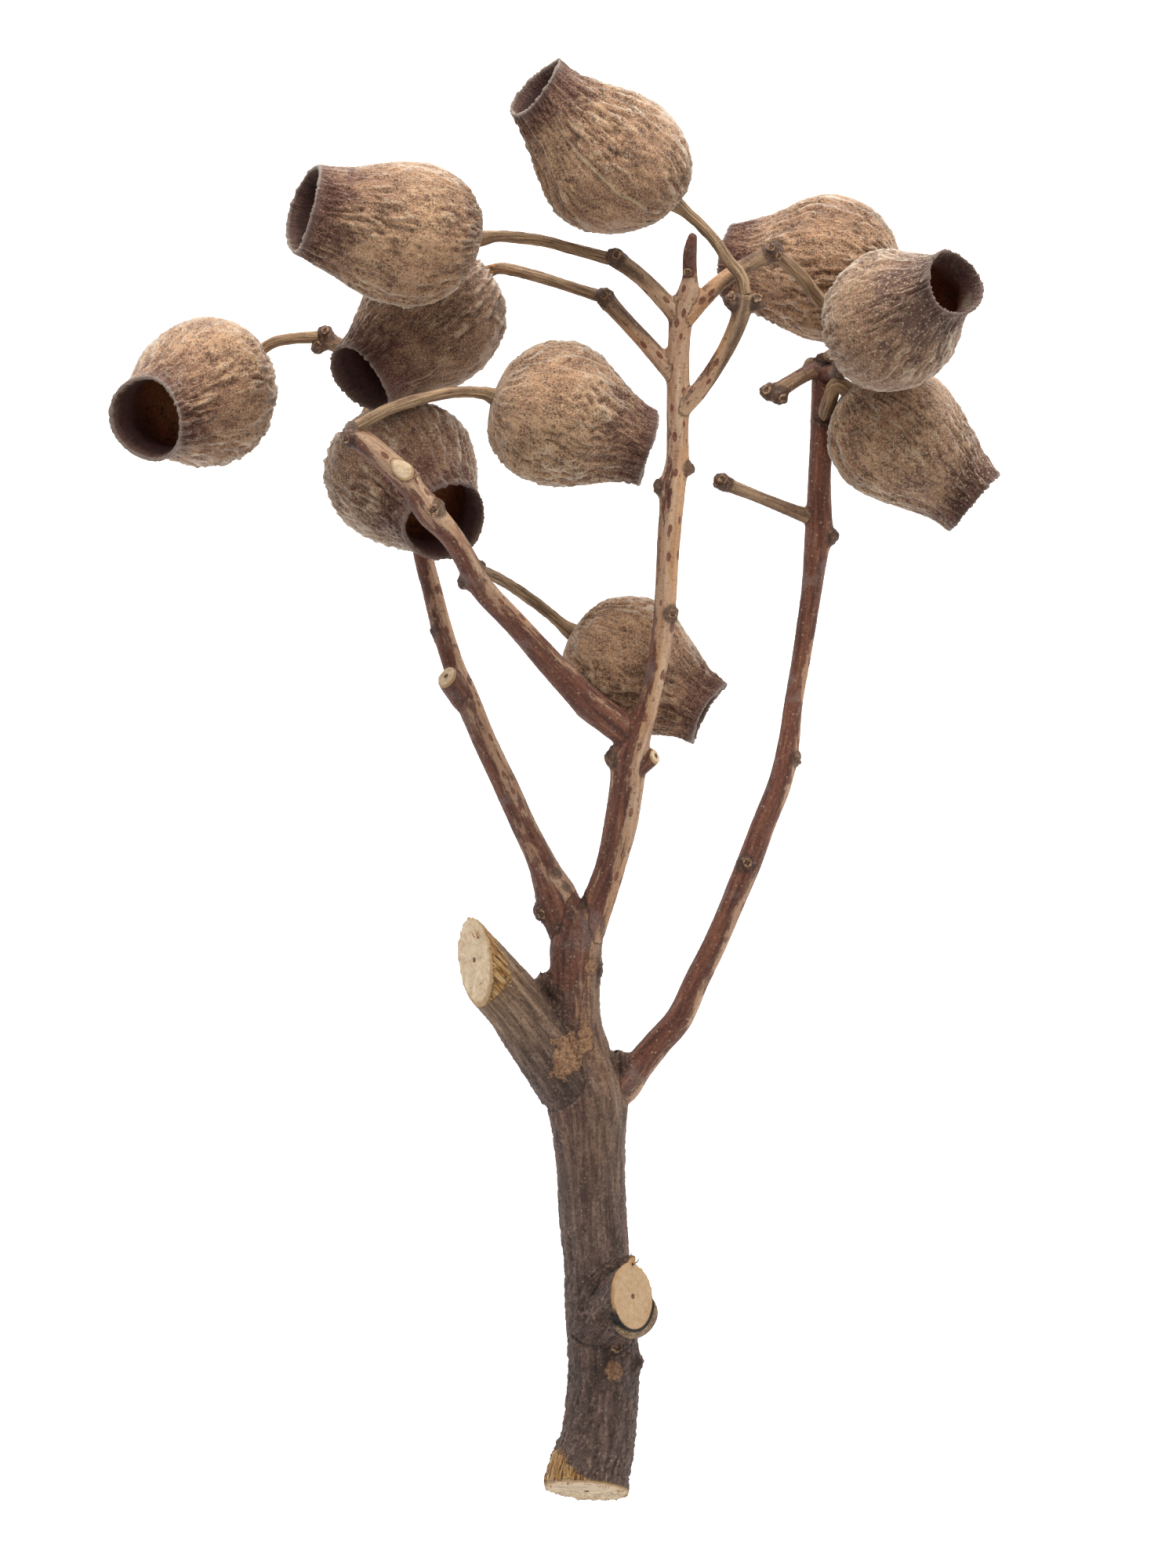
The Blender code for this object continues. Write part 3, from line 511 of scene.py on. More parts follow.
def moved(tree, geometry, position=None, offset=None):
    """Puts every point at a position, or moves it by an offset."""
    inputs = {"Geometry": geometry, "Position": position, "Offset": offset}
    return wire(tree, "GeometryNodeSetPosition", inputs)


def off_the_table(tree, geometry):
    """Lifts every point that is lower than the table's top."""
    x, y, z = wire(tree, "GeometryNodeInputPosition").parts()
    return moved(tree, geometry, position=combine(tree, x, y, z.at_least(TABLE_GAP)))


def joined(tree, *parts):
    """One geometry that holds all of these."""
    join = node(tree, "GeometryNodeJoinGeometry")
    for part in parts:
        tree.links.new(part.socket, join.inputs[0])
    return Wire(tree, join.outputs[0])


def finished(tree, geometry, material):
    """Shades smooth, makes instances real and sets the material."""
    smooth = wire(tree, "GeometryNodeSetShadeSmooth", {"Geometry": geometry, "Shade Smooth": True})
    real = wire(tree, "GeometryNodeRealizeInstances", {"Geometry": smooth})
    return wire(tree, "GeometryNodeSetMaterial", {"Geometry": real, "Material": material})


def link_object(name, data):
    """A new object in the scene with this mesh, lamp or camera."""
    made = bpy.data.objects.new(name, data)
    bpy.context.scene.collection.objects.link(made)
    return made


def delivered(tree, geometry, result):
    """Ends a tree: turns millimetres into metres and hands the geometry over."""
    whole = wire(tree, "GeometryNodeTransform", {"Geometry": geometry, "Scale": (MM, MM, MM)})
    tree.links.new(whole.socket, result["Geometry"])
    return tree


def grown(name, tree, start, inputs):
    """Runs a Geometry Nodes tree on a mesh once and keeps what it gives as a plain mesh object."""
    carrier = link_object(name + "_start", start)
    growth = carrier.modifiers.new("growth", "NODES")
    growth.node_group = tree
    for item in tree.interface.items_tree:
        if item.item_type == "SOCKET" and item.in_out == "INPUT" and item.name in inputs:
            growth[item.identifier] = inputs[item.name]
    graph = bpy.context.evaluated_depsgraph_get()
    mesh = bpy.data.meshes.new_from_object(
        carrier.evaluated_get(graph), preserve_all_data_layers=True, depsgraph=graph
    )
    bpy.data.objects.remove(carrier)
    mesh.name = name
    return link_object(name, mesh)


def smooth_path(points, step):
    """Points about one step apart on a smooth curve through rows of numbers, with every number blended alike."""
    rows = [Vector(p) for p in points]
    ends = [2 * rows[0] - rows[1], *rows, 2 * rows[-1] - rows[-2]]
    path = []
    for before, start, stop, after in zip(ends, ends[1:], ends[2:], ends[3:]):
        pieces = max(1, round((Vector(stop[:3]) - Vector(start[:3])).length / step))
        for k in range(pieces):
            t = k / pieces
            path.append(
                0.5
                * (
                    2 * start
                    + (stop - before) * t
                    + (2 * before - 5 * start + 4 * stop - after) * t**2
                    + (3 * start - before - 3 * stop + after) * t**3
                )
            )
    path.append(rows[-1])
    return path


def frames_along(centres):
    """For each centre, the way the line runs there and two square directions that don't twist along it."""
    runs = [(b - a).normalized() for a, b in zip(centres, centres[1:])]
    ways = [runs[0], *[(a + b).normalized() for a, b in zip(runs, runs[1:])], runs[-1]]
    side = ways[0].orthogonal().normalized()
    frames = []
    before = ways[0]
    for way in ways:
        turn = before.rotation_difference(way)
        side = (turn @ side).normalized()
        side = (side - way * side.dot(way)).normalized()
        frames.append((way, side, way.cross(side)))
        before = way
    return frames


def pod_tree():
    """A bell-shaped pod and its stalk. It starts from the stalk's middle line, whose points have a thickness."""
    tree, given, result = growth_tree(
        "bell pod on its stalk",
        {
            "Base": (0.0, 0.0, 0.0), "Axis": (0.0, 0.0, 1.0), "Side": (1.0, 0.0, 0.0), "Bow": (0.0, 0.0, 0.0),
            "Mouth Faces": (0.0, 0.0, 1.0), "Length": 35.0, "Mouth Radius": 7.0, "Belly Radius": 14.0, "Lip": 0.1,
            "Turn": 0.0, "Wrinkle Depth": 0.50, "Crinkle Depth": 0.26, "Pimple Height": 0.14, "Stalk Grooves": 0.17,
            "Seam Turn": 0.0, "Seam Height": 0.0, "Shade": 0.0, "Lichen": 0.0, "Seed": 0, "Pod Skin": None,
            "Stalk Skin": None,
        },
    )
    mouth, belly, length = given["Mouth Radius"], given["Belly Radius"], given["Length"]
    grid = wire(
        tree, "GeometryNodeMeshGrid",
        {"Size X": 1.0, "Size Y": 1.0, "Vertices X": POD_RINGS + 1, "Vertices Y": POD_SIDES + 1},
    )
    place = wire(tree, "GeometryNodeInputPosition").parts()
    along = place[0] + 0.5
    angle = (place[1] + 0.5) * TAU

    outside = (along / OUTSIDE_SHARE).at_most(1.0)
    rim = (along - OUTSIDE_SHARE).at_least(0.0).math("DIVIDE", RIM_SHARE).at_most(1.0)
    wall = (along - (OUTSIDE_SHARE + RIM_SHARE)).at_least(0.0).math("DIVIDE", WALL_SHARE).at_most(1.0)
    floor = (along - (OUTSIDE_SHARE + RIM_SHARE + WALL_SHARE)).at_least(0.0)
    floor = floor / (1.0 - OUTSIDE_SHARE - RIM_SHARE - WALL_SHARE)
    inside = along.math("GREATER_THAN", OUTSIDE_SHARE + RIM_SHARE + 1e-4)

    bowl = outside.at_most(0.5) * math.pi
    upper = (outside - 0.5).at_least(0.0) * 2.0
    height_out = (1.0 - bowl.math("COSINE")) * WIDEST_AT + upper * (1.0 - WIDEST_AT)
    neck = mouth - given["Lip"]
    swell = (upper * math.pi).math("COSINE") * 0.5 + 0.5
    flare = (height_out - LIP_STARTS_AT).at_least(0.0).math("DIVIDE", 1.0 - LIP_STARTS_AT) ** 1.5
    radius_out = bowl.math("SINE") * (neck + (belly - neck) * swell) + given["Lip"] * flare
    over = rim * math.pi
    radius_out = radius_out - (1.0 - over.math("COSINE")) * (RIM_WALL / 2)
    height_out = height_out + over.math("SINE") * (RIM_WALL * 0.3) / length

    height_in = 1.0 - wall * (1.0 - FLOOR_AT)
    throat = mouth - THROAT_WALL + height_in.rise(THROAT_AT, 1.0, smooth=False) * (THROAT_WALL - RIM_WALL)
    chamber = belly * CHAMBER_SHARE
    widening = height_in.rise(THROAT_AT, CHAMBER_AT)
    rounding = (1.0 - height_in.rise(CHAMBER_AT, FLOOR_AT, smooth=False) ** 2 * (1.0 - FLOOR_SHARE**2)) ** 0.5
    radius_in = (throat * (1.0 - widening) + chamber * widening) * rounding * (1.0 - floor)
    height_in = height_in + (1.0 - (1.0 - floor) ** 2) * FLOOR_DOME / length

    radius = radius_out * (1.0 - inside) + radius_in * inside
    height = height_out * (1.0 - inside) + height_in * inside
    turn = given["Turn"]
    oval = sum((share * (angle * count + turn * count).math("COSINE") for count, share in OVALNESS), start=0.0) + 1.0

    round_place = combine(
        tree, angle.math("COSINE") * POD_GRAIN_RADIUS, angle.math("SINE") * POD_GRAIN_RADIUS,
        outside * POD_GRAIN_OUTSIDE + wall * POD_GRAIN_WALL + floor * POD_GRAIN_FLOOR,
    )
    seed_shift = combine(tree, 0.0, 0.0, given["Seed"] * POD_GRAIN_SHIFT)
    grain = round_place.vector("ADD", seed_shift)
    chips = (grain.stretched(1.0, 1.0, 0.2).noise(0.45, detail=4.0, roughness=0.65) - 0.5) * (RIM_CHIPS * 4.0)
    lift = height**4 * (angle * 2.0 + turn).math("COSINE") * RIM_WAVE + height**14 * chips

    out = given["Side"].vector("SCALE", scale=angle.math("COSINE"))
    other = given["Axis"].vector("CROSS_PRODUCT", given["Side"]).vector("SCALE", scale=angle.math("SINE"))
    out = out.vector("ADD", other).vector("SCALE", scale=radius * oval)
    lean = out.vector("DOT_PRODUCT", given["Mouth Faces"]) / given["Axis"].vector("DOT_PRODUCT", given["Mouth Faces"])
    lean = lean * (height * 2.0 - 1.0).at_least(0.0)
    centre = given["Base"].vector("ADD", given["Axis"].vector("SCALE", scale=length * height + lift - lean))
    centre = centre.vector("ADD", given["Bow"].vector("SCALE", scale=height * (1.0 - height) * 4.0))
    spot = centre.vector("ADD", out)

    pod = stored(tree, grid, "height", height)
    pod = stored(tree, pod, "inside", wall.rise(0.0, 0.12))
    pod = stored(tree, pod, "floor", floor)
    from_rim = (along - (OUTSIDE_SHARE + RIM_SHARE * 0.5)).math("ABSOLUTE")
    pod = stored(tree, pod, "rim", 1.0 - from_rim.rise(RIM_SHARE * 0.5, RIM_SHARE * 1.1))
    pod = stored(tree, pod, "grain", grain, "FLOAT_VECTOR")
    pod = stored(tree, pod, "turned", angle)
    pod = moved(tree, pod, position=spot)
    pod = wire(tree, "GeometryNodeMergeByDistance", {"Geometry": pod, "Distance": 0.002})

    grain = kept(tree, "grain", "FLOAT_VECTOR")
    height, inside, floor = kept(tree, "height"), kept(tree, "inside"), kept(tree, "floor")
    wander = grain.noise(0.14, detail=1.0)
    streak = grain.vector("ADD", combine(tree, wander * 4.0, wander * -3.0, 0.0))
    crest = (streak.stretched(1.0, 1.0, 0.12).noise(0.55, detail=1.0) - 0.5).math("ABSOLUTE").rise(0.12, 0.0)
    fold = (streak.stretched(1.0, 1.0, 0.18).noise(1.15, detail=1.0) - 0.5).math("ABSOLUTE").rise(0.12, 0.0)
    wrinkle = crest * 1.1 + fold * 0.7 - 0.75
    crinkle = (grain.stretched(1.0, 1.0, 0.5).noise(1.6, detail=3.0, roughness=0.65) - 0.5) * 2.0
    roughest = grain.noise(0.08, detail=1.0).rise(0.36, 0.60)
    pimple = grain.cells(1.05).rise(0.42, 0.0)
    dent = (grain.noise(0.09, detail=0.0) - 0.5) * 0.9
    seam = (kept(tree, "turned") - given["Seam Turn"] + (streak.noise(0.2, detail=1.0) - 0.5) * 0.12).math("ABSOLUTE")
    seam = seam.rise(0.035, 0.0) * given["Seam Height"] * height.rise(0.12, 0.25) * height.rise(0.95, 0.8)
    skin = wrinkle * given["Wrinkle Depth"] * (roughest * 0.7 + 0.4) + crinkle * given["Crinkle Depth"]
    skin = skin + pimple * given["Pimple Height"] + seam
    fades = height.rise(0.0, 0.06) * (1.0 - height.rise(0.94, 1.0) * 0.6)
    outer_relief = (skin + dent) * fades
    split = (kept(tree, "turned") * 2.5 + grain.noise(0.3) * 0.8).math("SINE").math("ABSOLUTE").rise(0.16, 0.0)
    inner_relief = crinkle * 0.16 - split * floor.rise(0.0, 0.25) * 0.9
    relief = outer_relief * (1.0 - inside) + inner_relief * inside
    pod = stored(tree, pod, "relief", wrinkle * (roughest * 0.6 + 0.4) + crinkle * 0.5)
    pod = stored(tree, pod, "seam", seam)
    # The share of painted shade that darkens the whole skin of a pod lying in the shadow of others.
    pod = stored(tree, pod, "painted_shade", given["Shade"])
    pod = stored(tree, pod, "lichen", given["Lichen"])
    pod = stored(tree, pod, "split", split * floor.rise(0.0, 0.3))
    normal = wire(tree, "GeometryNodeInputNormal")
    pod = moved(tree, pod, offset=normal.vector("SCALE", scale=relief * -1.0))
    pod = wire(tree, "GeometryNodeFlipFaces", {0: pod})
    pod = finished(tree, pod, given["Pod Skin"])

    line = wire(tree, "GeometryNodeMeshToCurve", {"Mesh": given["Start"]})
    line = stored(tree, line, "along", wire(tree, "GeometryNodeSplineParameter", output="Length"))
    hoop = wire(tree, "GeometryNodeCurvePrimitiveCircle", {"Resolution": STALK_SIDES, "Radius": 1.0})
    hoop = stored(tree, hoop, "turned", wire(tree, "GeometryNodeSplineParameter") * TAU)
    stalk = wire(
        tree, "GeometryNodeCurveToMesh",
        {"Curve": line, "Profile Curve": hoop, "Scale": kept(tree, "thick"), "Fill Caps": True},
    )
    turned = kept(tree, "turned")
    grain = combine(tree, turned.math("COSINE") * 2.0, turned.math("SINE") * 2.0, kept(tree, "along"))
    grain = grain.vector("ADD", seed_shift)
    groove = grain.stretched(1.0, 1.0, 0.12).noise(0.9, detail=3.0, roughness=0.6) - 0.5
    lump = grain.noise(0.5, detail=2.0) - 0.5
    stalk = stored(tree, stalk, "grain", grain, "FLOAT_VECTOR")
    stalk = stored(tree, stalk, "relief", groove * 2.0)
    relief = groove * given["Stalk Grooves"] * 4.0 + lump * given["Stalk Grooves"] * 2.5
    stalk = moved(tree, stalk, offset=normal.vector("SCALE", scale=relief))
    stalk = finished(tree, stalk, given["Stalk Skin"])

    return delivered(tree, off_the_table(tree, joined(tree, stalk, pod)), result)


def pod_piece(name, pod, number, tree, pod_skin, stalk_skin):
    """One pod with its stalk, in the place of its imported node."""
    mouth, base = Vector(pod["mouth"]) + RECENTRE, Vector(pod["base"]) + RECENTRE
    length = (mouth - base).length
    way = (mouth - base) / length
    line = [*(Vector(p) + RECENTRE for p in reversed(pod["stalk"])), base]
    root = line[0] + (line[0] - line[1]).normalized() * STALK_ROOTED
    path = [Vector(p) for p in smooth_path([root, *line, base + way * STALK_SUNK], STALK_STEP)]
    start = bpy.data.meshes.new(name)
    start.from_pydata([tuple(p) for p in path], [(k, k + 1) for k in range(len(path) - 1)], [])
    thick = start.attributes.new("thick", "FLOAT", "POINT")
    slender = pod.get("stalk_radius", STALK_RADIUS)
    for spot, point in zip(thick.data, path):
        to_pod = (point - base).length
        to_wood = (point - path[0]).length
        spot.value = (
            slender
            + (STALK_HEAD_RADIUS - slender) * max(0.0, 1 - to_pod / STALK_FLARE) ** 1.7
            + (STALK_ROOT_RADIUS - slender) * max(0.0, 1 - to_wood / STALK_FLARE)
        )
    side = frames_along(path)[-1][1]
    side = (side - way * side.dot(way)).normalized()
    up_turn = math.atan2(way.cross(side).z, side.z) % TAU
    return grown(
        name + "_skin", tree, start,
        {
            "Base": tuple(base), "Axis": tuple(way), "Side": tuple(side), "Bow": pod.get("bow", (0.0, 0.0, 0.0)),
            "Mouth Faces": pod.get("faces", tuple(way)), "Length": length, "Mouth Radius": pod["mouth_radius"],
            "Belly Radius": float(pod["belly"]), "Lip": pod["lip"], "Turn": math.radians(pod["turn"]), "Seed": number,
            "Seam Turn": up_turn + pod.get("seam", 0.0), "Seam Height": SEAM_HEIGHT if "seam" in pod else 0.0,
            "Shade": pod.get("painted_shade", 0.0), "Lichen": pod.get("lichen", 0.0),
            "Pod Skin": pod_skin, "Stalk Skin": stalk_skin,
        },
    )


def limb_rings(mesh, limb):
    """Adds one closed round limb to a mesh, with its end slanted if it was sawn so."""
    path = smooth_path(limb["line"], LIMB_STEP)
    centres = [Vector(p[:3]) + RECENTRE for p in path]
    frames = frames_along(centres)
    loops = []
    for centre, (way, side, other), row in zip(centres, frames, path):
        loop = []
        for k in range(LIMB_SIDES):
            angle = TAU * k / LIMB_SIDES
            out = side * math.cos(angle) + other * math.sin(angle)
            loop.append(mesh.verts.new(centre + out * (row[3] + SMOOTHING_LOSS)))
        for key, end in (("faces", centres[-1]), ("foot", centres[0])):
            if key in limb:
                square = Vector(limb[key]).normalized()
                share = max(0.0, 1 - (centre - end).length / SAW_FADE)
                for v in loop:
                    v.co -= share * way * (v.co - centre).dot(square) / way.dot(square)
        loops.append(loop)
    for first, second in zip(loops, loops[1:]):
        for k in range(LIMB_SIDES):
            mesh.faces.new((first[k - 1], first[k], second[k], second[k - 1]))
    mesh.faces.new(list(reversed(loops[0])))
    mesh.faces.new(loops[-1])


def plain_wood():
    """The whole piece of wood as one closed skin, in millimetres, before its bark."""
    mesh = bmesh.new()
    for limb in LIMBS.values():
        limb_rings(mesh, limb)
    for x, y, z, radius in KNOBS:
        knob = bmesh.ops.create_icosphere(mesh, subdivisions=3, radius=radius)
        for v in knob["verts"]:
            v.co += Vector((x, y, z)) + RECENTRE
    bmesh.ops.recalc_face_normals(mesh, faces=mesh.faces)
    data = bpy.data.meshes.new("wood")
    mesh.to_mesh(data)
    mesh.free()
    carrier = link_object("wood", data)
    remesh = carrier.modifiers.new("one_skin", "REMESH")
    remesh.mode = "VOXEL"
    remesh.voxel_size = WOOD_VOXEL
    remesh.adaptivity = 0.0
    soften = carrier.modifiers.new("soften", "SMOOTH")
    soften.factor = 0.5
    soften.iterations = WOOD_SMOOTHING
    graph = bpy.context.evaluated_depsgraph_get()
    skin = bpy.data.meshes.new_from_object(carrier.evaluated_get(graph))
    bpy.data.objects.remove(carrier)
    return skin


def wood_values(skin):
    """Tells each point of the wood where it lies along and round its limb, how old its bark is, and if it is knotty."""
    spots, ways, sides, others, radii, lengths, tones = [], [], [], [], [], [], []
    run = 0.0
    for limb in LIMBS.values():
        path = smooth_path(limb["line"], 1.0)
        centres = [Vector(p[:3]) + RECENTRE for p in path]
        start, stop = (np.array(tone) for tone in limb["tones"])
        run += GRAIN_GAP
        for k, (centre, (way, side, other), row) in enumerate(zip(centres, frames_along(centres), path)):
            run += (centre - centres[k - 1]).length if k else 0.0
            share = k / (len(path) - 1)
            for values, value in zip(
                (spots, ways, sides, others, radii, lengths, tones),
                (centre, way, side, other, row[3], run, start * (1 - share) + stop * share),
            ):
                values.append(value)
    spots, ways, sides, others, tones = (np.array(v, np.float32) for v in (spots, ways, sides, others, tones))
    radii, lengths = np.array(radii, np.float32), np.array(lengths, np.float32)
    count = len(skin.vertices)
    points = np.empty(count * 3, np.float32)
    skin.vertices.foreach_get("co", points)
    points = points.reshape(-1, 3)
    nearest = np.empty(count, np.int64)
    for k in range(0, count, POINTS_AT_ONCE):
        gap = np.linalg.norm(points[k : k + POINTS_AT_ONCE, None] - spots[None], axis=2) - radii
        nearest[k : k + POINTS_AT_ONCE] = gap.argmin(axis=1)
    offset = points - spots[nearest]
    grain = np.stack(
        [
            (offset * sides[nearest]).sum(1), (offset * others[nearest]).sum(1),
            lengths[nearest] + (offset * ways[nearest]).sum(1),
        ],
        axis=1,
    )
    tones = tones[nearest]
    # Painted light: less red bark, and so paler wood, on each limb's right side.
    tones[:, 1] -= RIGHT_SIDE_PAINTED_LIGHT * np.clip(offset[:, 0] / radii[nearest], -0.4, 1.0) * (1 - tones[:, 0])
    knotty = np.zeros(count, np.float32)
    for x, y, z, radius in (*KNOBS, *CRUSTS):
        gap = np.linalg.norm(points - np.array(Vector((x, y, z)) + RECENTRE, np.float32), axis=1) - radius
        knotty = np.maximum(knotty, np.clip(1 - gap / KNOTTY_REACH, 0, 1))
    sawn = np.zeros(count, np.float32)
    for limb in LIMBS.values():
        if "faces" in limb:
            end = np.array(Vector(limb["line"][-1][:3]) + RECENTRE)
            depth = (points - end) @ np.array(Vector(limb["faces"]).normalized())
            near = np.linalg.norm(points - end, axis=1) < limb["line"][-1][3] * 2.6
            sawn = np.maximum(sawn, np.where(near, np.clip((depth + SAWN_DEPTH) / SAWN_EDGE, 0, 1), 0))
    foot = np.array(Vector(LIMBS["trunk"]["line"][0][:3]) + RECENTRE)
    square = np.array(Vector(LIMBS["trunk"]["foot"]).normalized())
    sawn = np.maximum(sawn, np.clip(((points - foot) @ square + SAWN_DEPTH) / SAWN_EDGE, 0, 1))
    for name, kind, values in (
        ("grain", "FLOAT_VECTOR", grain), ("tone", "FLOAT_VECTOR", tones), ("girth", "FLOAT", radii[nearest]),
        ("knotty", "FLOAT", knotty), ("sawn", "FLOAT", sawn),
    ):
        field = skin.attributes.new(name, kind, "POINT")
        flat = np.ascontiguousarray(values, np.float32).ravel()
        field.data.foreach_set("vector" if kind == "FLOAT_VECTOR" else "value", flat)


def bark_tree():
    """Raises bark on the plain wood: long wrinkles, fine cracks and knotty scars, but none on the sawn faces."""
    tree, given, result = growth_tree(
        "bark on wood",
        {"Wrinkle Depth": 0.55, "Crack Depth": 0.22, "Knot Depth": 0.8, "Splinter Depth": 1.6, "Bark": None},
    )
    wood = given["Start"]
    grain = kept(tree, "grain", "FLOAT_VECTOR")
    girth, knotty, sawn = kept(tree, "girth"), kept(tree, "knotty"), kept(tree, "sawn")
    tone = wire(
        tree, "GeometryNodeBlurAttribute", {0: kept(tree, "tone", "FLOAT_VECTOR"), "Iterations": 6},
        data_type="FLOAT_VECTOR",
    )
    wood = stored(tree, wood, "tone", tone, "FLOAT_VECTOR")
    old = kept(tree, "tone", "FLOAT_VECTOR").parts()[0]
    place = wire(tree, "GeometryNodeInputPosition")
    wander = grain.noise(0.15, detail=1.0) * 4.0
    streak = grain.stretched(1.0, 1.0, 0.16).vector("ADD", combine(tree, wander, wander * 0.7, 0.0))
    wrinkle = (streak.noise(0.55, detail=3.0, roughness=0.55) - 0.5) * 2.0
    crack = (grain.stretched(1.0, 1.0, 0.22).noise(1.5, detail=2.0, roughness=0.6) - 0.5) * 2.0
    short = streak.stretched(1.0, 1.0, 3.4).noise(0.95, detail=1.0) - 0.5
    crimp = short.math("ABSOLUTE").rise(0.11, 0.0) * 1.4 - 0.7
    crack = crack * (1.0 - old * 0.5) + crimp * old * 1.1
    knot = (place.noise(0.9, detail=3.0, roughness=0.6) - 0.4) * 2.0
    thick = girth.rise(1.0, 6.0)
    relief = wrinkle * given["Wrinkle Depth"] * (thick * 0.8 + 0.2) * (old * 0.5 + 0.5)
    relief = relief + crack * given["Crack Depth"] * (thick * 0.7 + 0.3)
    relief = relief + knot * given["Knot Depth"] * knotty
    relief = relief * (1.0 - sawn)
    foot = place.parts()[1].rise(FOOT_TORN_FROM, FOOT_TORN_TO)
    tear = grain.stretched(1.0, 1.0, 0.05).noise(0.7, detail=4.0, roughness=0.7) - 0.5
    tear = tear * given["Splinter Depth"] * foot
    wood = stored(tree, wood, "relief", wrinkle * 0.7 + crack * 0.6)
    normal = wire(tree, "GeometryNodeInputNormal")
    push = normal.vector("SCALE", scale=relief).vector("ADD", combine(tree, 0.0, tear * -2.0, 0.0))
    wood = moved(tree, wood, offset=push)
    wood = finished(tree, off_the_table(tree, wood), given["Bark"])
    return delivered(tree, wood, result)


def points_mesh(name, points, **fields):
    """Loose points in millimetres, each with the values that fields gives it."""
    mesh = bpy.data.meshes.new(name)
    mesh.from_pydata([tuple(Vector(p) + RECENTRE) for p in points], [], [])
    for label, values in fields.items():
        vectors = isinstance(values[0], (tuple, Vector))
        field = mesh.attributes.new(label, "FLOAT_VECTOR" if vectors else "FLOAT", "POINT")
        flat = [part for value in values for part in value] if vectors else values
        field.data.foreach_set("vector" if vectors else "value", flat)
    return mesh


def placed(tree, points, thing, size):
    """Puts a copy of thing on each point, turned the point's own way."""
    turn = wire(
        tree, "FunctionNodeAlignRotationToVector", {"Vector": kept(tree, "way", "FLOAT_VECTOR")}, axis="Z"
    )
    return wire(
        tree, "GeometryNodeInstanceOnPoints", {"Points": points, "Instance": thing, "Rotation": turn, "Scale": size}
    )


def scar_tree():
    """Round scars that fallen stalks left: an uneven ring of bark with a low button in it."""
    tree, given, result = growth_tree("stalk scars", {"Ring Share": 0.26, "Unevenness": 0.16, "Scar": None})
    hoop = wire(tree, "GeometryNodeCurvePrimitiveCircle", {"Resolution": 28, "Radius": 0.8})
    section = wire(tree, "GeometryNodeCurvePrimitiveCircle", {"Resolution": 10, "Radius": given["Ring Share"]})
    ring = wire(tree, "GeometryNodeCurveToMesh", {"Curve": hoop, "Profile Curve": section})
    ring = stored(tree, ring, "button", 0.0)
    ball = wire(tree, "GeometryNodeMeshIcoSphere", {"Radius": 0.42, "Subdivisions": 3})
    ball = stored(tree, ball, "button", 1.0)
    button = wire(tree, "GeometryNodeTransform", {"Geometry": ball, "Scale": (1.0, 1.0, 0.5)})
    points = wire(tree, "GeometryNodeMeshToPoints", {"Mesh": given["Start"]})
    copies = placed(tree, points, joined(tree, ring, button), kept(tree, "size"))
    real = wire(tree, "GeometryNodeRealizeInstances", {"Geometry": copies})
    place = wire(tree, "GeometryNodeInputPosition")
    lump = wire(tree, "ShaderNodeTexNoise", {"Vector": place, "Scale": 1.4, "Detail": 3.0}, output=1)
    uneven = lump.vector("SUBTRACT", (0.5, 0.5, 0.5)).vector("SCALE", scale=given["Unevenness"] * 5.0)
    real = moved(tree, real, offset=uneven)
    return delivered(tree, finished(tree, real, given["Scar"]), result)


def splinter_tree():
    """Thin fibres of torn bark and wood, each bent a little."""
    tree, given, result = growth_tree("torn fibres", {"Thickness": 0.17, "Bend": 0.5, "Fibre": None})
    spike = wire(
        tree, "GeometryNodeMeshCone",
        {"Vertices": 6, "Side Segments": 5, "Radius Top": 0.02, "Radius Bottom": given["Thickness"], "Depth": 1.0},
    )
    points = wire(tree, "GeometryNodeMeshToPoints", {"Mesh": given["Start"]})
    broad = wire(tree, "FunctionNodeRandomValue", {2: 0.6, 3: 1.6, "Seed": 5}, output=1, data_type="FLOAT")
    copies = placed(tree, points, spike, combine(tree, broad, broad, kept(tree, "size")))
    real = wire(tree, "GeometryNodeRealizeInstances", {"Geometry": copies})
    place = wire(tree, "GeometryNodeInputPosition")
    sway = wire(tree, "ShaderNodeTexNoise", {"Vector": place, "Scale": 0.7, "Detail": 1.0}, output=1)
    real = moved(tree, real, offset=sway.vector("SUBTRACT", (0.5, 0.5, 0.5)).vector("SCALE", scale=given["Bend"] * 2.0))
    return delivered(tree, finished(tree, real, given["Fibre"]), result)


def splinter_points():
    """Where fibres stand out: round the sawn faces' torn sides, and on the crusty knots."""
    draw = random.Random(11)
    places, ways, sizes, dark = [], [], [], []
    for centre, faces, radius, first, last, count, longest, tint in TEARS:
        square = Vector(faces).normalized()
        across = square.cross((0.0, 0.0, 1.0)).normalized()
        up = across.cross(square)
        for _ in range(count):
            angle = math.radians(draw.uniform(first, last))
            out = across * math.cos(angle) + up * math.sin(angle)
            places.append(Vector(centre) + out * radius * draw.uniform(0.86, 1.0) - square * draw.uniform(0.2, 0.9))
            ways.append(square + out * draw.uniform(-0.1, 0.7) + Vector([draw.uniform(-0.35, 0.35) for _ in range(3)]))
            sizes.append(longest * draw.uniform(0.3, 1.0) ** 1.5)
            dark.append(min(1.0, max(0.0, tint + draw.uniform(-0.25, 0.25))))
    return points_mesh("splinter_points", places, way=ways, size=sizes, dark=dark)


def new_material(name):
    """A material with its tree, its Principled shader and a place in millimetres on the object."""
    material = bpy.data.materials.new(name)
    material.use_nodes = True
    tree = material.node_tree
    shader = tree.nodes["Principled BSDF"]
    place = wire(tree, "ShaderNodeTexCoord", output="Object").vector("SCALE", scale=1.0 / MM)
    return material, tree, shader, place


def painted(tree, name, output="Fac"):
    """A value that the mesh carries on its points."""
    return wire(tree, "ShaderNodeAttribute", output=output, attribute_name=name)


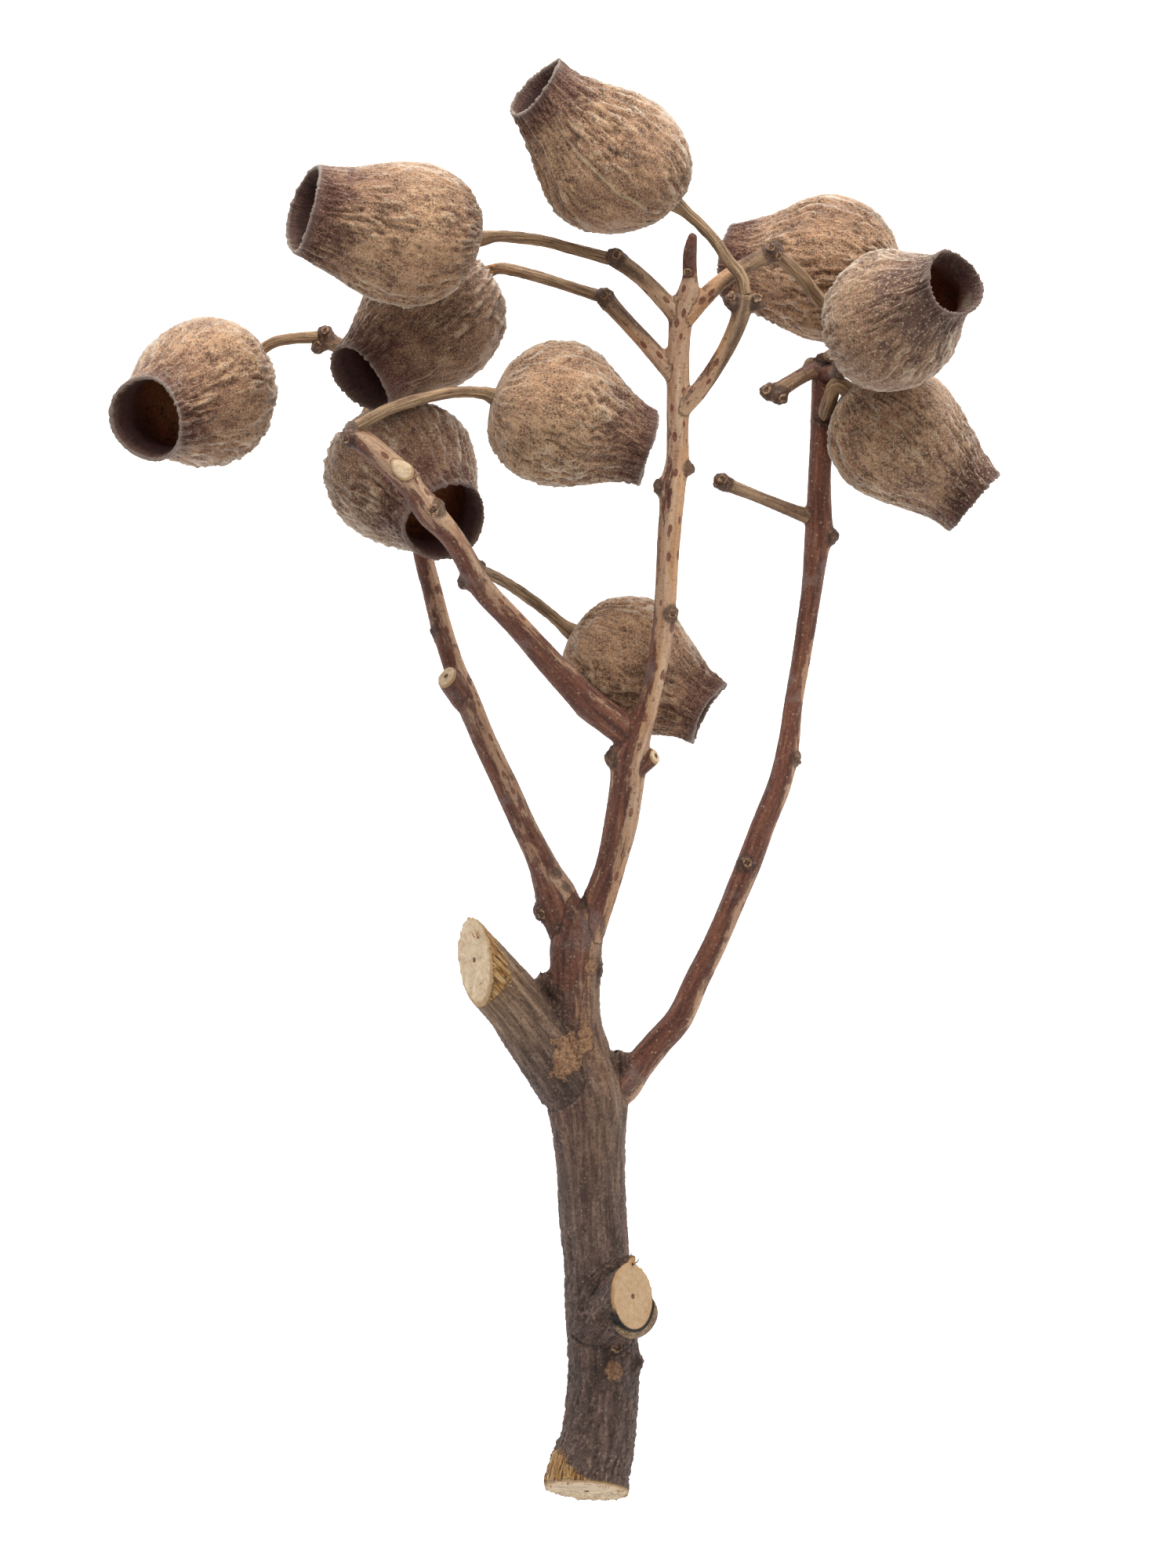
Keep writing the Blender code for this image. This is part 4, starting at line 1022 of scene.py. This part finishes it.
def finish_surface(tree, shader, colour, roughness, height):
    """Gives the shader its colour, roughness and fine relief. height is in millimetres."""
    tree.links.new(colour.socket, shader.inputs["Base Color"])
    tree.links.new(roughness.socket, shader.inputs["Roughness"])
    bump = wire(tree, "ShaderNodeBump", {"Strength": 1.0, "Distance": MM, "Height": height})
    tree.links.new(bump.socket, shader.inputs["Normal"])


def speckle_group():
    """Dark pits and pale pimples of a dry woody skin."""
    tree, given, result = new_group(
        "speckle", "ShaderNodeTree", {"Place": (0.0, 0.0, 0.0), "Size": 0.6, "Share": 0.5},
        {"Dark": "NodeSocketFloat", "Pale": "NodeSocketFloat"},
    )
    scale = 1.0 / given["Size"]
    place = given["Place"]
    pits = place.cells(scale)
    chosen = place.cells(scale, "Color").parts()
    dark = pits.rise(0.42, 0.18) * chosen[0].rise(1.0 - given["Share"], 1.08 - given["Share"])
    pale = pits.rise(0.36, 0.12) * chosen[1].rise(1.0 - given["Share"], 1.08 - given["Share"]) * (1.0 - dark)
    tree.links.new(dark.socket, result["Dark"])
    tree.links.new(pale.socket, result["Pale"])
    return tree


def pod_skin_material(speckle):
    """Khaki woody skin with streaks and specks, maroon towards the rim, and an orange-brown hollow."""
    material, tree, shader, place = new_material("pod_skin")
    grain = painted(tree, "grain", "Vector")
    height, inside, relief = painted(tree, "height"), painted(tree, "inside"), painted(tree, "relief")
    rim, split = painted(tree, "rim"), painted(tree, "split")
    seam, painted_shade, lichen = painted(tree, "seam"), painted(tree, "painted_shade"), painted(tree, "lichen")

    cloud = place.noise(0.07, detail=3.0, roughness=0.6)
    streak = grain.stretched(1.0, 1.0, 0.16).noise(1.1, detail=3.0, roughness=0.65)
    colour = (cloud * 0.6 + streak * 0.4).ramp(
        (0.30, paint(144, 101, 76)), (0.44, paint(190, 141, 105)), (0.56, paint(222, 174, 132)),
        (0.72, paint(203, 158, 113)),
    )
    blotch = place.noise(0.24, detail=5.0, roughness=0.7, distortion=0.3)
    colour = colour.mixed(paint(142, 98, 70), blotch.rise(0.50, 0.66) * 0.6)
    # Painted shade: the pods that lie in the shadow of others are darkened as a whole.
    colour = colour.mixed(paint(116, 80, 60), painted_shade * (0.7 + blotch * 0.3))
    # Painted shade in the hollows of the wrinkles and a painted highlight on their crests.
    colour = colour.mixed(paint(96, 66, 52), relief.rise(0.05, -0.7) * 0.68)
    colour = colour.mixed(paint(232, 208, 176), relief.rise(0.2, 0.9) * 0.5)
    peppered = blotch.rise(0.36, 0.60)
    grit = place.noise(2.7, detail=3.0, roughness=0.75)
    colour = colour.mixed(paint(104, 64, 48), grit.rise(0.51, 0.60) * (peppered * 0.45 + 0.35))
    colour = colour.mixed(paint(226, 198, 156), grit.rise(0.47, 0.38) * 0.45)
    dark, pale = used(tree, speckle, {"Place": place, "Size": 0.62, "Share": 0.55})
    pits = used(tree, speckle, {"Place": place, "Size": 1.5, "Share": 0.22})[0]
    colour = colour.mixed(paint(76, 42, 32), dark * (peppered * 0.45 + 0.35))
    colour = colour.mixed(paint(60, 34, 28), pits * 0.6)
    colour = colour.mixed(paint(232, 210, 176), pale * 0.55)
    tiny = place.cells(2.3).rise(0.36, 0.14) * place.cells(2.3, "Color").parts()[0].rise(0.42, 0.50)
    colour = colour.mixed(paint(242, 222, 190), tiny * 0.65)
    colour = colour.mixed(paint(222, 200, 160), seam.rise(0.02, 0.2) * 0.65)
    near_mouth = height + (blotch - 0.5) * 0.9 + (streak - 0.5) * 0.4
    maroon = near_mouth.rise(0.60, 0.98)
    colour = colour.mixed(paint(88, 42, 36), maroon * (0.64 + grit.rise(0.44, 0.58) * 0.34))
    colour = colour.mixed(paint(108, 80, 72), lichen * lichen * (0.28 + near_mouth.rise(0.5, 0.9) * 0.35))
    dotted = place.cells(1.45).rise(0.40, 0.22) * place.cells(1.45, "Color").parts()[2].rise(0.30, 0.40)
    colour = colour.mixed(paint(224, 200, 168), dotted * lichen.rise(0.0, 0.5) * 0.65)
    crust = place.noise(0.40, detail=5.0, roughness=0.7, distortion=0.4).rise(0.640, 0.665)
    colour = colour.mixed(paint(214, 198, 158), crust * lichen * 0.85)
    colour = colour.mixed(paint(112, 84, 74), height.rise(0.955, 0.985) * 0.8)
    # A pale rim, less of it on crusty pods; on pods darkened with painted shade it is dimmed by that painted shade too.
    colour = colour.mixed(paint(190, 170, 154), rim.rise(0.75, 1.0) * (0.55 - painted_shade * 0.45 - lichen * 0.35))
    # A painted sheen: pale towards the edges that turn away from the camera and on the wrinkles' crests, outside only.
    facing = wire(tree, "ShaderNodeLayerWeight", {"Blend": 0.5}, output=1)
    painted_edge_sheen = facing.rise(0.25, 0.85) * (0.14 + relief.rise(-0.2, 0.5) * 0.56) * (1.0 - inside) * (1.0 - maroon * 0.5)
    colour = colour.mixed(paint(236, 220, 200), painted_edge_sheen)

    depth = 1.0 - height
    inner = (depth + (streak - 0.5) * 0.18).ramp(
        (0.0, paint(110, 80, 70)), (0.07, paint(74, 42, 36)), (0.22, paint(104, 56, 42)), (0.42, paint(176, 102, 64)),
        (0.56, paint(222, 148, 96)),
    )
    inner = inner.mixed(paint(44, 24, 20), place.noise(0.5, detail=4.0, roughness=0.65).rise(0.50, 0.66) * 0.55)
    inner = inner.mixed(paint(196, 162, 120), split * 0.8)
    inner = inner.mixed(paint(196, 120, 84), lichen * depth.rise(0.05, 0.3) * 0.4)
    inner = inner.mixed(paint(150, 134, 110), lichen * place.noise(0.25, detail=4.0).rise(0.50, 0.58) * 0.35)
    colour = colour.mixed(inner, inside)

    fine = place.noise(3.2, detail=3.0, roughness=0.7)
    bumps = pale * 0.16 - dark * 0.10 + grit * 0.6 + fine * 0.14 + tiny * 0.12
    bumps = bumps + grain.stretched(1.0, 1.0, 0.3).noise(2.2, detail=2.0) * 0.5
    finish_surface(tree, shader, colour, 0.50 + fine * 0.25, bumps)
    return material


def stalk_skin_material(speckle):
    """Olive-tan stalk, with painted shade in its long grooves."""
    material, tree, shader, place = new_material("stalk_skin")
    grain = painted(tree, "grain", "Vector")
    relief = painted(tree, "relief")
    streak = grain.stretched(1.0, 1.0, 0.1).noise(1.6, detail=3.0, roughness=0.6)
    colour = streak.ramp((0.30, paint(76, 54, 38)), (0.48, paint(136, 106, 76)), (0.66, paint(182, 150, 112)))
    # Painted shade in the grooves.
    colour = colour.mixed(paint(66, 48, 36), relief.rise(-0.1, -0.6) * 0.6)
    dark, pale = used(tree, speckle, {"Place": place, "Size": 0.5, "Share": 0.3})
    colour = colour.mixed(paint(60, 40, 32), dark * 0.5)
    colour = colour.mixed(paint(200, 180, 148), pale * 0.4)
    fine = place.noise(3.0, detail=3.0, roughness=0.7)
    finish_surface(tree, shader, colour, 0.6 + fine * 0.25, streak * 0.35 + fine * 0.1)
    return material


def sawn_face_group():
    """A sawn end of wood: its pale face and pith, the torn strip beside it, and a lip of bark, with painted shade in
    the gap between it and the face.
    """
    tree, given, result = new_group(
        "sawn face", "ShaderNodeTree",
        {
            "Place": (0.0, 0.0, 0.0), "Pith": (0.0, 0.0, 0.0), "Way": (0.0, 0.0, 1.0), "Faces": (0.0, 0.0, 1.0),
            "Radius": 5.0, "Torn": 0.3, "Torn Towards": (0.0, 0.0, 0.0), "Lip Towards": (0.0, 0.0, 0.0),
        },
        {name: "NodeSocketFloat" for name in ("Face", "Reach", "Torn", "Pith", "Gap", "Lip")},
    )
    offset = given["Place"].vector("SUBTRACT", given["Pith"])
    depth = offset.vector("DOT_PRODUCT", given["Faces"])
    across = offset.vector("SUBTRACT", given["Way"].vector("SCALE", scale=offset.vector("DOT_PRODUCT", given["Way"])))
    reach = across.vector("LENGTH") / given["Radius"]
    near = reach.rise(1.24, 1.14)
    lipped = across.vector("DOT_PRODUCT", given["Lip Towards"]).rise(0.0, 2.0)
    ragged = given["Place"].noise(1.1, detail=5.0, roughness=0.75) - 0.5
    lean = (across.vector("DOT_PRODUCT", given["Torn Towards"]) / given["Radius"]).at_least(0.0)
    torn_depth = given["Torn"] + lean * lean * 3.0
    face = (depth + ragged * (lean * 1.5 + 0.4)).rise(-0.62, -0.42) * near * (1.0 - lipped * reach.rise(0.98, 1.02))
    torn = (depth + torn_depth * (ragged * 2.2 + 1.0)).rise(-0.4, -0.1) * near
    pith = offset.vector("LENGTH").rise(0.62, 0.42)
    # Painted shade in the gap between the face and the lip of bark.
    gap = reach.rise(0.96, 1.0) * reach.rise(1.10, 1.05) * lipped * depth.rise(-2.0, -1.2)
    lip = reach.rise(1.05, 1.09) * reach.rise(1.26, 1.18) * lipped * depth.rise(-1.8, -0.9)
    for name, value in (
        ("Face", face), ("Reach", reach), ("Torn", torn), ("Pith", pith), ("Gap", gap), ("Lip", lip),
    ):
        tree.links.new(value.socket, result[name])
    return tree


def bare_patch_group():
    """A patch where a plate of bark has come away, with a ragged edge."""
    tree, given, result = new_group(
        "bare patch", "ShaderNodeTree",
        {"Place": (0.0, 0.0, 0.0), "Centre": (0.0, 0.0, 0.0), "Radius": 2.0, "Longer": 1.0},
        {"Bare": "NodeSocketFloat", "Edge": "NodeSocketFloat"},
    )
    offset = given["Place"].vector("SUBTRACT", given["Centre"])
    x, y, z = offset.parts()
    gap = combine(tree, x, y / given["Longer"], z).vector("LENGTH") / given["Radius"]
    gap = gap + (given["Place"].noise(0.42, detail=6.0, roughness=0.75) - 0.5) * 2.6
    tree.links.new(gap.rise(1.05, 0.95).socket, result["Bare"])
    tree.links.new((gap.rise(1.3, 1.05) * gap.rise(0.85, 1.0)).socket, result["Edge"])
    return tree


def bark_material(speckle):
    """Grey old bark, red young bark and pale peeled bark, by how much of each the wood says, with sawn faces."""
    material, tree, shader, place = new_material("bark")
    grain = painted(tree, "grain", "Vector")
    old, red, pale_bark = painted(tree, "tone", "Vector").parts()
    relief, knotty = painted(tree, "relief"), painted(tree, "knotty")
    streak = grain.stretched(1.0, 1.0, 0.10).noise(0.9, detail=4.0, roughness=0.62)
    broad = grain.stretched(1.0, 1.0, 0.15).noise(0.22, detail=3.0, roughness=0.6)
    cloud = place.noise(0.12, detail=4.0, roughness=0.6)

    grit = place.noise(1.7, detail=4.0, roughness=0.75)
    twig = streak.ramp((0.30, paint(88, 62, 46)), (0.48, paint(140, 108, 80)), (0.66, paint(188, 154, 120)))
    pale = streak.ramp((0.28, paint(160, 114, 86)), (0.45, paint(204, 160, 126)), (0.65, paint(226, 192, 158)))
    pale = pale.mixed(paint(222, 166, 110), broad.rise(0.46, 0.60) * 0.5)
    spots = grain.stretched(1.0, 1.0, 0.5).cells(0.55)
    pale = pale.mixed(paint(128, 70, 50), spots.rise(0.31, 0.24) * 0.9)
    young = streak.ramp(
        (0.30, paint(70, 36, 26)), (0.46, paint(107, 58, 40)), (0.62, paint(139, 85, 60)), (0.75, paint(176, 126, 98)),
    )
    young = young.mixed(paint(150, 128, 120), cloud.rise(0.54, 0.66) * 0.45)
    shed = grain.stretched(1.0, 1.0, 0.22).noise(0.34, detail=6.0, roughness=0.7) + red * 0.42 - 0.21
    shed = shed.rise(0.455, 0.545)
    dull = pale.mixed(paint(150, 104, 80), 0.55)
    peeled = pale.mixed(dull, red.rise(0.2, 0.7)).mixed(young, shed)
    peeled = peeled.mixed(paint(70, 40, 30), shed.rise(0.0, 0.5) * shed.rise(1.0, 0.5) * 0.5)
    grey = streak.ramp(
        (0.26, paint(50, 36, 30)), (0.44, paint(88, 66, 56)), (0.60, paint(120, 94, 82)), (0.75, paint(164, 138, 124)),
    )
    grey = grey.mixed(paint(58, 41, 34), cloud.rise(0.50, 0.68) * 0.7)
    grey = grey.mixed(paint(112, 72, 52), broad.rise(0.54, 0.70) * 0.5)
    colour = twig.mixed(peeled, (red + pale_bark + broad * 0.3 - 0.15).rise(0.3, 0.6)).mixed(grey, old.rise(0.15, 0.75))
    # Painted shade in the hollows of the bark's wrinkles; paler on their crests, the more so on old bark.
    colour = colour.mixed(paint(40, 27, 22), relief.rise(-0.1, -0.8) * 0.65)
    colour = colour.mixed(paint(190, 162, 142), relief.rise(0.15, 0.9) * (0.22 + old * 0.38))
    colour = colour.mixed(paint(44, 29, 24), grit.rise(0.52, 0.64) * (0.25 + old * 0.25))
    colour = colour.mixed(paint(206, 180, 154), grit.rise(0.44, 0.36) * 0.22)
    dark, dots = used(tree, speckle, {"Place": place, "Size": 0.8, "Share": 0.22})
    colour = colour.mixed(paint(46, 30, 24), dark * 0.5)
    colour = colour.mixed(paint(212, 188, 158), dots * (0.55 - old * 0.3))
    crust = place.noise(1.1, detail=4.0, roughness=0.7)
    crusty = crust.ramp((0.35, paint(27, 18, 15)), (0.52, paint(74, 50, 39)), (0.66, paint(150, 116, 90)))
    colour = colour.mixed(crusty, knotty.rise(0.25, 0.75) * crust.rise(0.25, 0.45) * 0.8)

    patch = bare_patch_group()
    for centre, radius, longer in BARE_PATCHES:
        spot = tuple(Vector(centre) + RECENTRE)
        bare, edge = used(tree, patch, {"Place": place, "Centre": spot, "Radius": radius, "Longer": longer})
        wood = grit.ramp((0.36, paint(190, 150, 108)), (0.50, paint(164, 120, 84)), (0.62, paint(112, 76, 52)))
        colour = colour.mixed(wood, bare * 0.85)
        colour = colour.mixed(paint(52, 34, 26), edge * 0.45)

    sawn_face = sawn_face_group()
    height = streak * 0.5 + grit * 0.5 + dots * 0.16
    for limb in LIMBS.values():
        if "faces" in limb:
            before, end, faces = *limb["line"][-2:], limb["faces"]
        elif "foot" in limb:
            end, before, faces = *limb["line"][:2], limb["foot"]
        else:
            continue
        depth, towards = limb.get("torn", (0.1, (0.0, 0.0, 0.0)))
        face, reach, torn, pith, gap, lip = used(
            tree, sawn_face,
            {
                "Place": place, "Pith": tuple(Vector(end[:3]) + RECENTRE), "Radius": end[3], "Torn": depth,
                "Way": tuple((Vector(end[:3]) - Vector(before[:3])).normalized()), "Torn Towards": towards,
                "Faces": tuple(Vector(faces).normalized()), "Lip Towards": limb.get("lip", (0.0, 0.0, 0.0)),
            },
        )
        fibres = grain.stretched(1.0, 1.0, 0.12).noise(2.2, detail=4.0, roughness=0.7)
        strip = fibres.ramp(
            (0.36, paint(92, 58, 34)), (0.46, paint(170, 118, 62)), (0.55, paint(218, 168, 98)),
            (0.66, paint(238, 216, 174)),
        )
        colour = colour.mixed(strip, torn)
        strokes = place.stretched(0.3, 1.0, 1.0).noise(1.1, detail=5.0, roughness=0.7)
        cream = (strokes * 0.6 + place.noise(0.4, detail=4.0, roughness=0.65) * 0.4).ramp(
            (0.36, paint(192, 160, 122)), (0.49, paint(219, 192, 156)), (0.62, paint(238, 216, 182))
        )
        cream = cream.mixed(paint(168, 124, 76), 0.6 if "lip" in limb else 0.0)
        cream = cream.mixed(paint(176, 132, 78), reach.rise(0.90, 1.0) * 0.7)
        cream = cream.mixed(paint(96, 64, 40), pith)
        colour = colour.mixed(cream, face)
        if "lip" in limb:
            colour = colour.mixed(grit.ramp((0.4, paint(188, 156, 118)), (0.6, paint(126, 94, 68))), lip)
            # Painted shade in the gap between the face and the lip of bark.
            colour = colour.mixed(paint(24, 16, 13), gap)
        height = height * (1.0 - face) + strokes * face * 0.3 + fibres * torn * (1.0 - face) * 1.2
    # Painted shade along the edges that turn away from the camera, a dark outline round every limb.
    facing = wire(tree, "ShaderNodeLayerWeight", {"Blend": 0.5}, output=1)
    colour = colour.mixed(paint(54, 34, 28), facing.rise(0.62, 1.0) * 0.55)
    fine = place.noise(3.0, detail=2.0)
    finish_surface(tree, shader, colour, 0.5 + fine * 0.3, height)
    return material


def scar_material():
    """Tan ring of bark with dark edges."""
    material, tree, shader, place = new_material("scar_bark")
    crust = place.noise(1.8, detail=4.0, roughness=0.7)
    colour = crust.ramp((0.34, paint(58, 38, 30)), (0.48, paint(134, 98, 72)), (0.62, paint(196, 162, 126)))
    colour = colour.mixed(paint(72, 48, 38), painted(tree, "button") * 0.6)
    finish_surface(tree, shader, colour, 0.6 + crust * 0.25, crust * 0.4)
    return material


def fibre_material():
    """Golden torn fibres, some of them dark."""
    material, tree, shader, place = new_material("torn_fibre")
    cloud = place.noise(0.9, detail=3.0, roughness=0.6)
    colour = cloud.ramp((0.34, paint(150, 96, 50)), (0.50, paint(206, 150, 86)), (0.66, paint(232, 198, 142)))
    colour = colour.mixed(paint(44, 30, 24), painted(tree, "dark"))
    finish_surface(tree, shader, colour, 0.6 + cloud * 0.2, cloud * 0.3)
    return material


def floor_material():
    """Plain white table with the faintest grain, and a little light of its own."""
    material, tree, shader, place = new_material("pale_table")
    colour = place.noise(0.02, detail=2.0).ramp((0.3, paint(236, 236, 236)), (0.7, paint(240, 240, 240)))
    tree.links.new(colour.socket, shader.inputs["Base Color"])
    shader.inputs["Roughness"].default_value = 0.9
    shader.inputs["Emission Color"].default_value = (1.0, 1.0, 1.0, 1.0)
    shader.inputs["Emission Strength"].default_value = TABLE_GLOW
    return material


def table_top():
    """The table that the branch lies on."""
    data = bpy.data.meshes.new("table_top")
    half = TABLE_HALF_WIDTH
    corners = [(-half, -half, 0.0), (half, -half, 0.0), (half, half, 0.0), (-half, half, 0.0)]
    data.from_pydata(corners, [], [(0, 1, 2, 3)])
    data.materials.append(floor_material())
    return link_object("table_top", data)


def area_light(name, place, towards, size, power):
    """A round white lamp that shines on a spot."""
    data = bpy.data.lights.new(name, "AREA")
    data.shape = "DISK"
    data.size = size
    data.energy = power
    made = link_object(name, data)
    made.location = place
    made.rotation_euler = (Vector(towards) - Vector(place)).to_track_quat("-Z", "Y").to_euler()


def studio():
    """Soft light from all round, a broad lamp beyond the twig tips, a weak one, and the camera straight above."""
    scene = bpy.context.scene
    scene.view_settings.view_transform = "Standard"
    world = bpy.data.worlds.new("soft_room")
    world.use_nodes = True
    background = world.node_tree.nodes["Background"]
    background.inputs["Color"].default_value = (1.0, 1.0, 1.0, 1.0)
    background.inputs["Strength"].default_value = ROOM_LIGHT
    scene.world = world
    for name, (place, towards, size, power) in LAMPS.items():
        area_light(name, place, towards, size, power)
    camera = bpy.data.cameras.new("camera")
    camera.lens = CAMERA_LENS
    camera.sensor_width = SENSOR_WIDTH
    eye = link_object("camera", camera)
    eye.location = CAMERA_PLACE
    scene.camera = eye


def main():
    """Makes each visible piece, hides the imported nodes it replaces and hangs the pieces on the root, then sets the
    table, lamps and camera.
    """
    speckle = speckle_group()
    pod_skin, stalk_skin, bark = pod_skin_material(speckle), stalk_skin_material(speckle), bark_material(speckle)
    tree = pod_tree()
    for number, (name, pod) in enumerate(PODS.items()):
        piece = pod_piece(name, pod, number, tree, pod_skin, stalk_skin)
        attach(piece, "root")
        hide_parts(name)
    skin = plain_wood()
    wood_values(skin)
    wood = grown("branch_wood", bark_tree(), skin, {"Bark": bark})
    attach(wood, "root")
    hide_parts("branch")
    scars = points_mesh(
        "scar_points", [s[0] for s in SCARS], way=[Vector(s[1]).normalized() for s in SCARS], size=[s[2] for s in SCARS]
    )
    for piece in (
        grown("stalk_scars", scar_tree(), scars, {"Scar": scar_material()}),
        grown("torn_fibres", splinter_tree(), splinter_points(), {"Fibre": fibre_material()}),
    ):
        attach(piece, "root")
    table_top()
    studio()


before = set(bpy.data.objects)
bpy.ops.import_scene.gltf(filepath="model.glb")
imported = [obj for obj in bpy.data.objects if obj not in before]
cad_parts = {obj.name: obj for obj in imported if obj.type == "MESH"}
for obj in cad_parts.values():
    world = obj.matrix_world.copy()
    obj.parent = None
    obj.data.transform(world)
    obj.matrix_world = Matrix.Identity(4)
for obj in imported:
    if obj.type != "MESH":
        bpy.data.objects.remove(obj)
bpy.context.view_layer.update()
main()
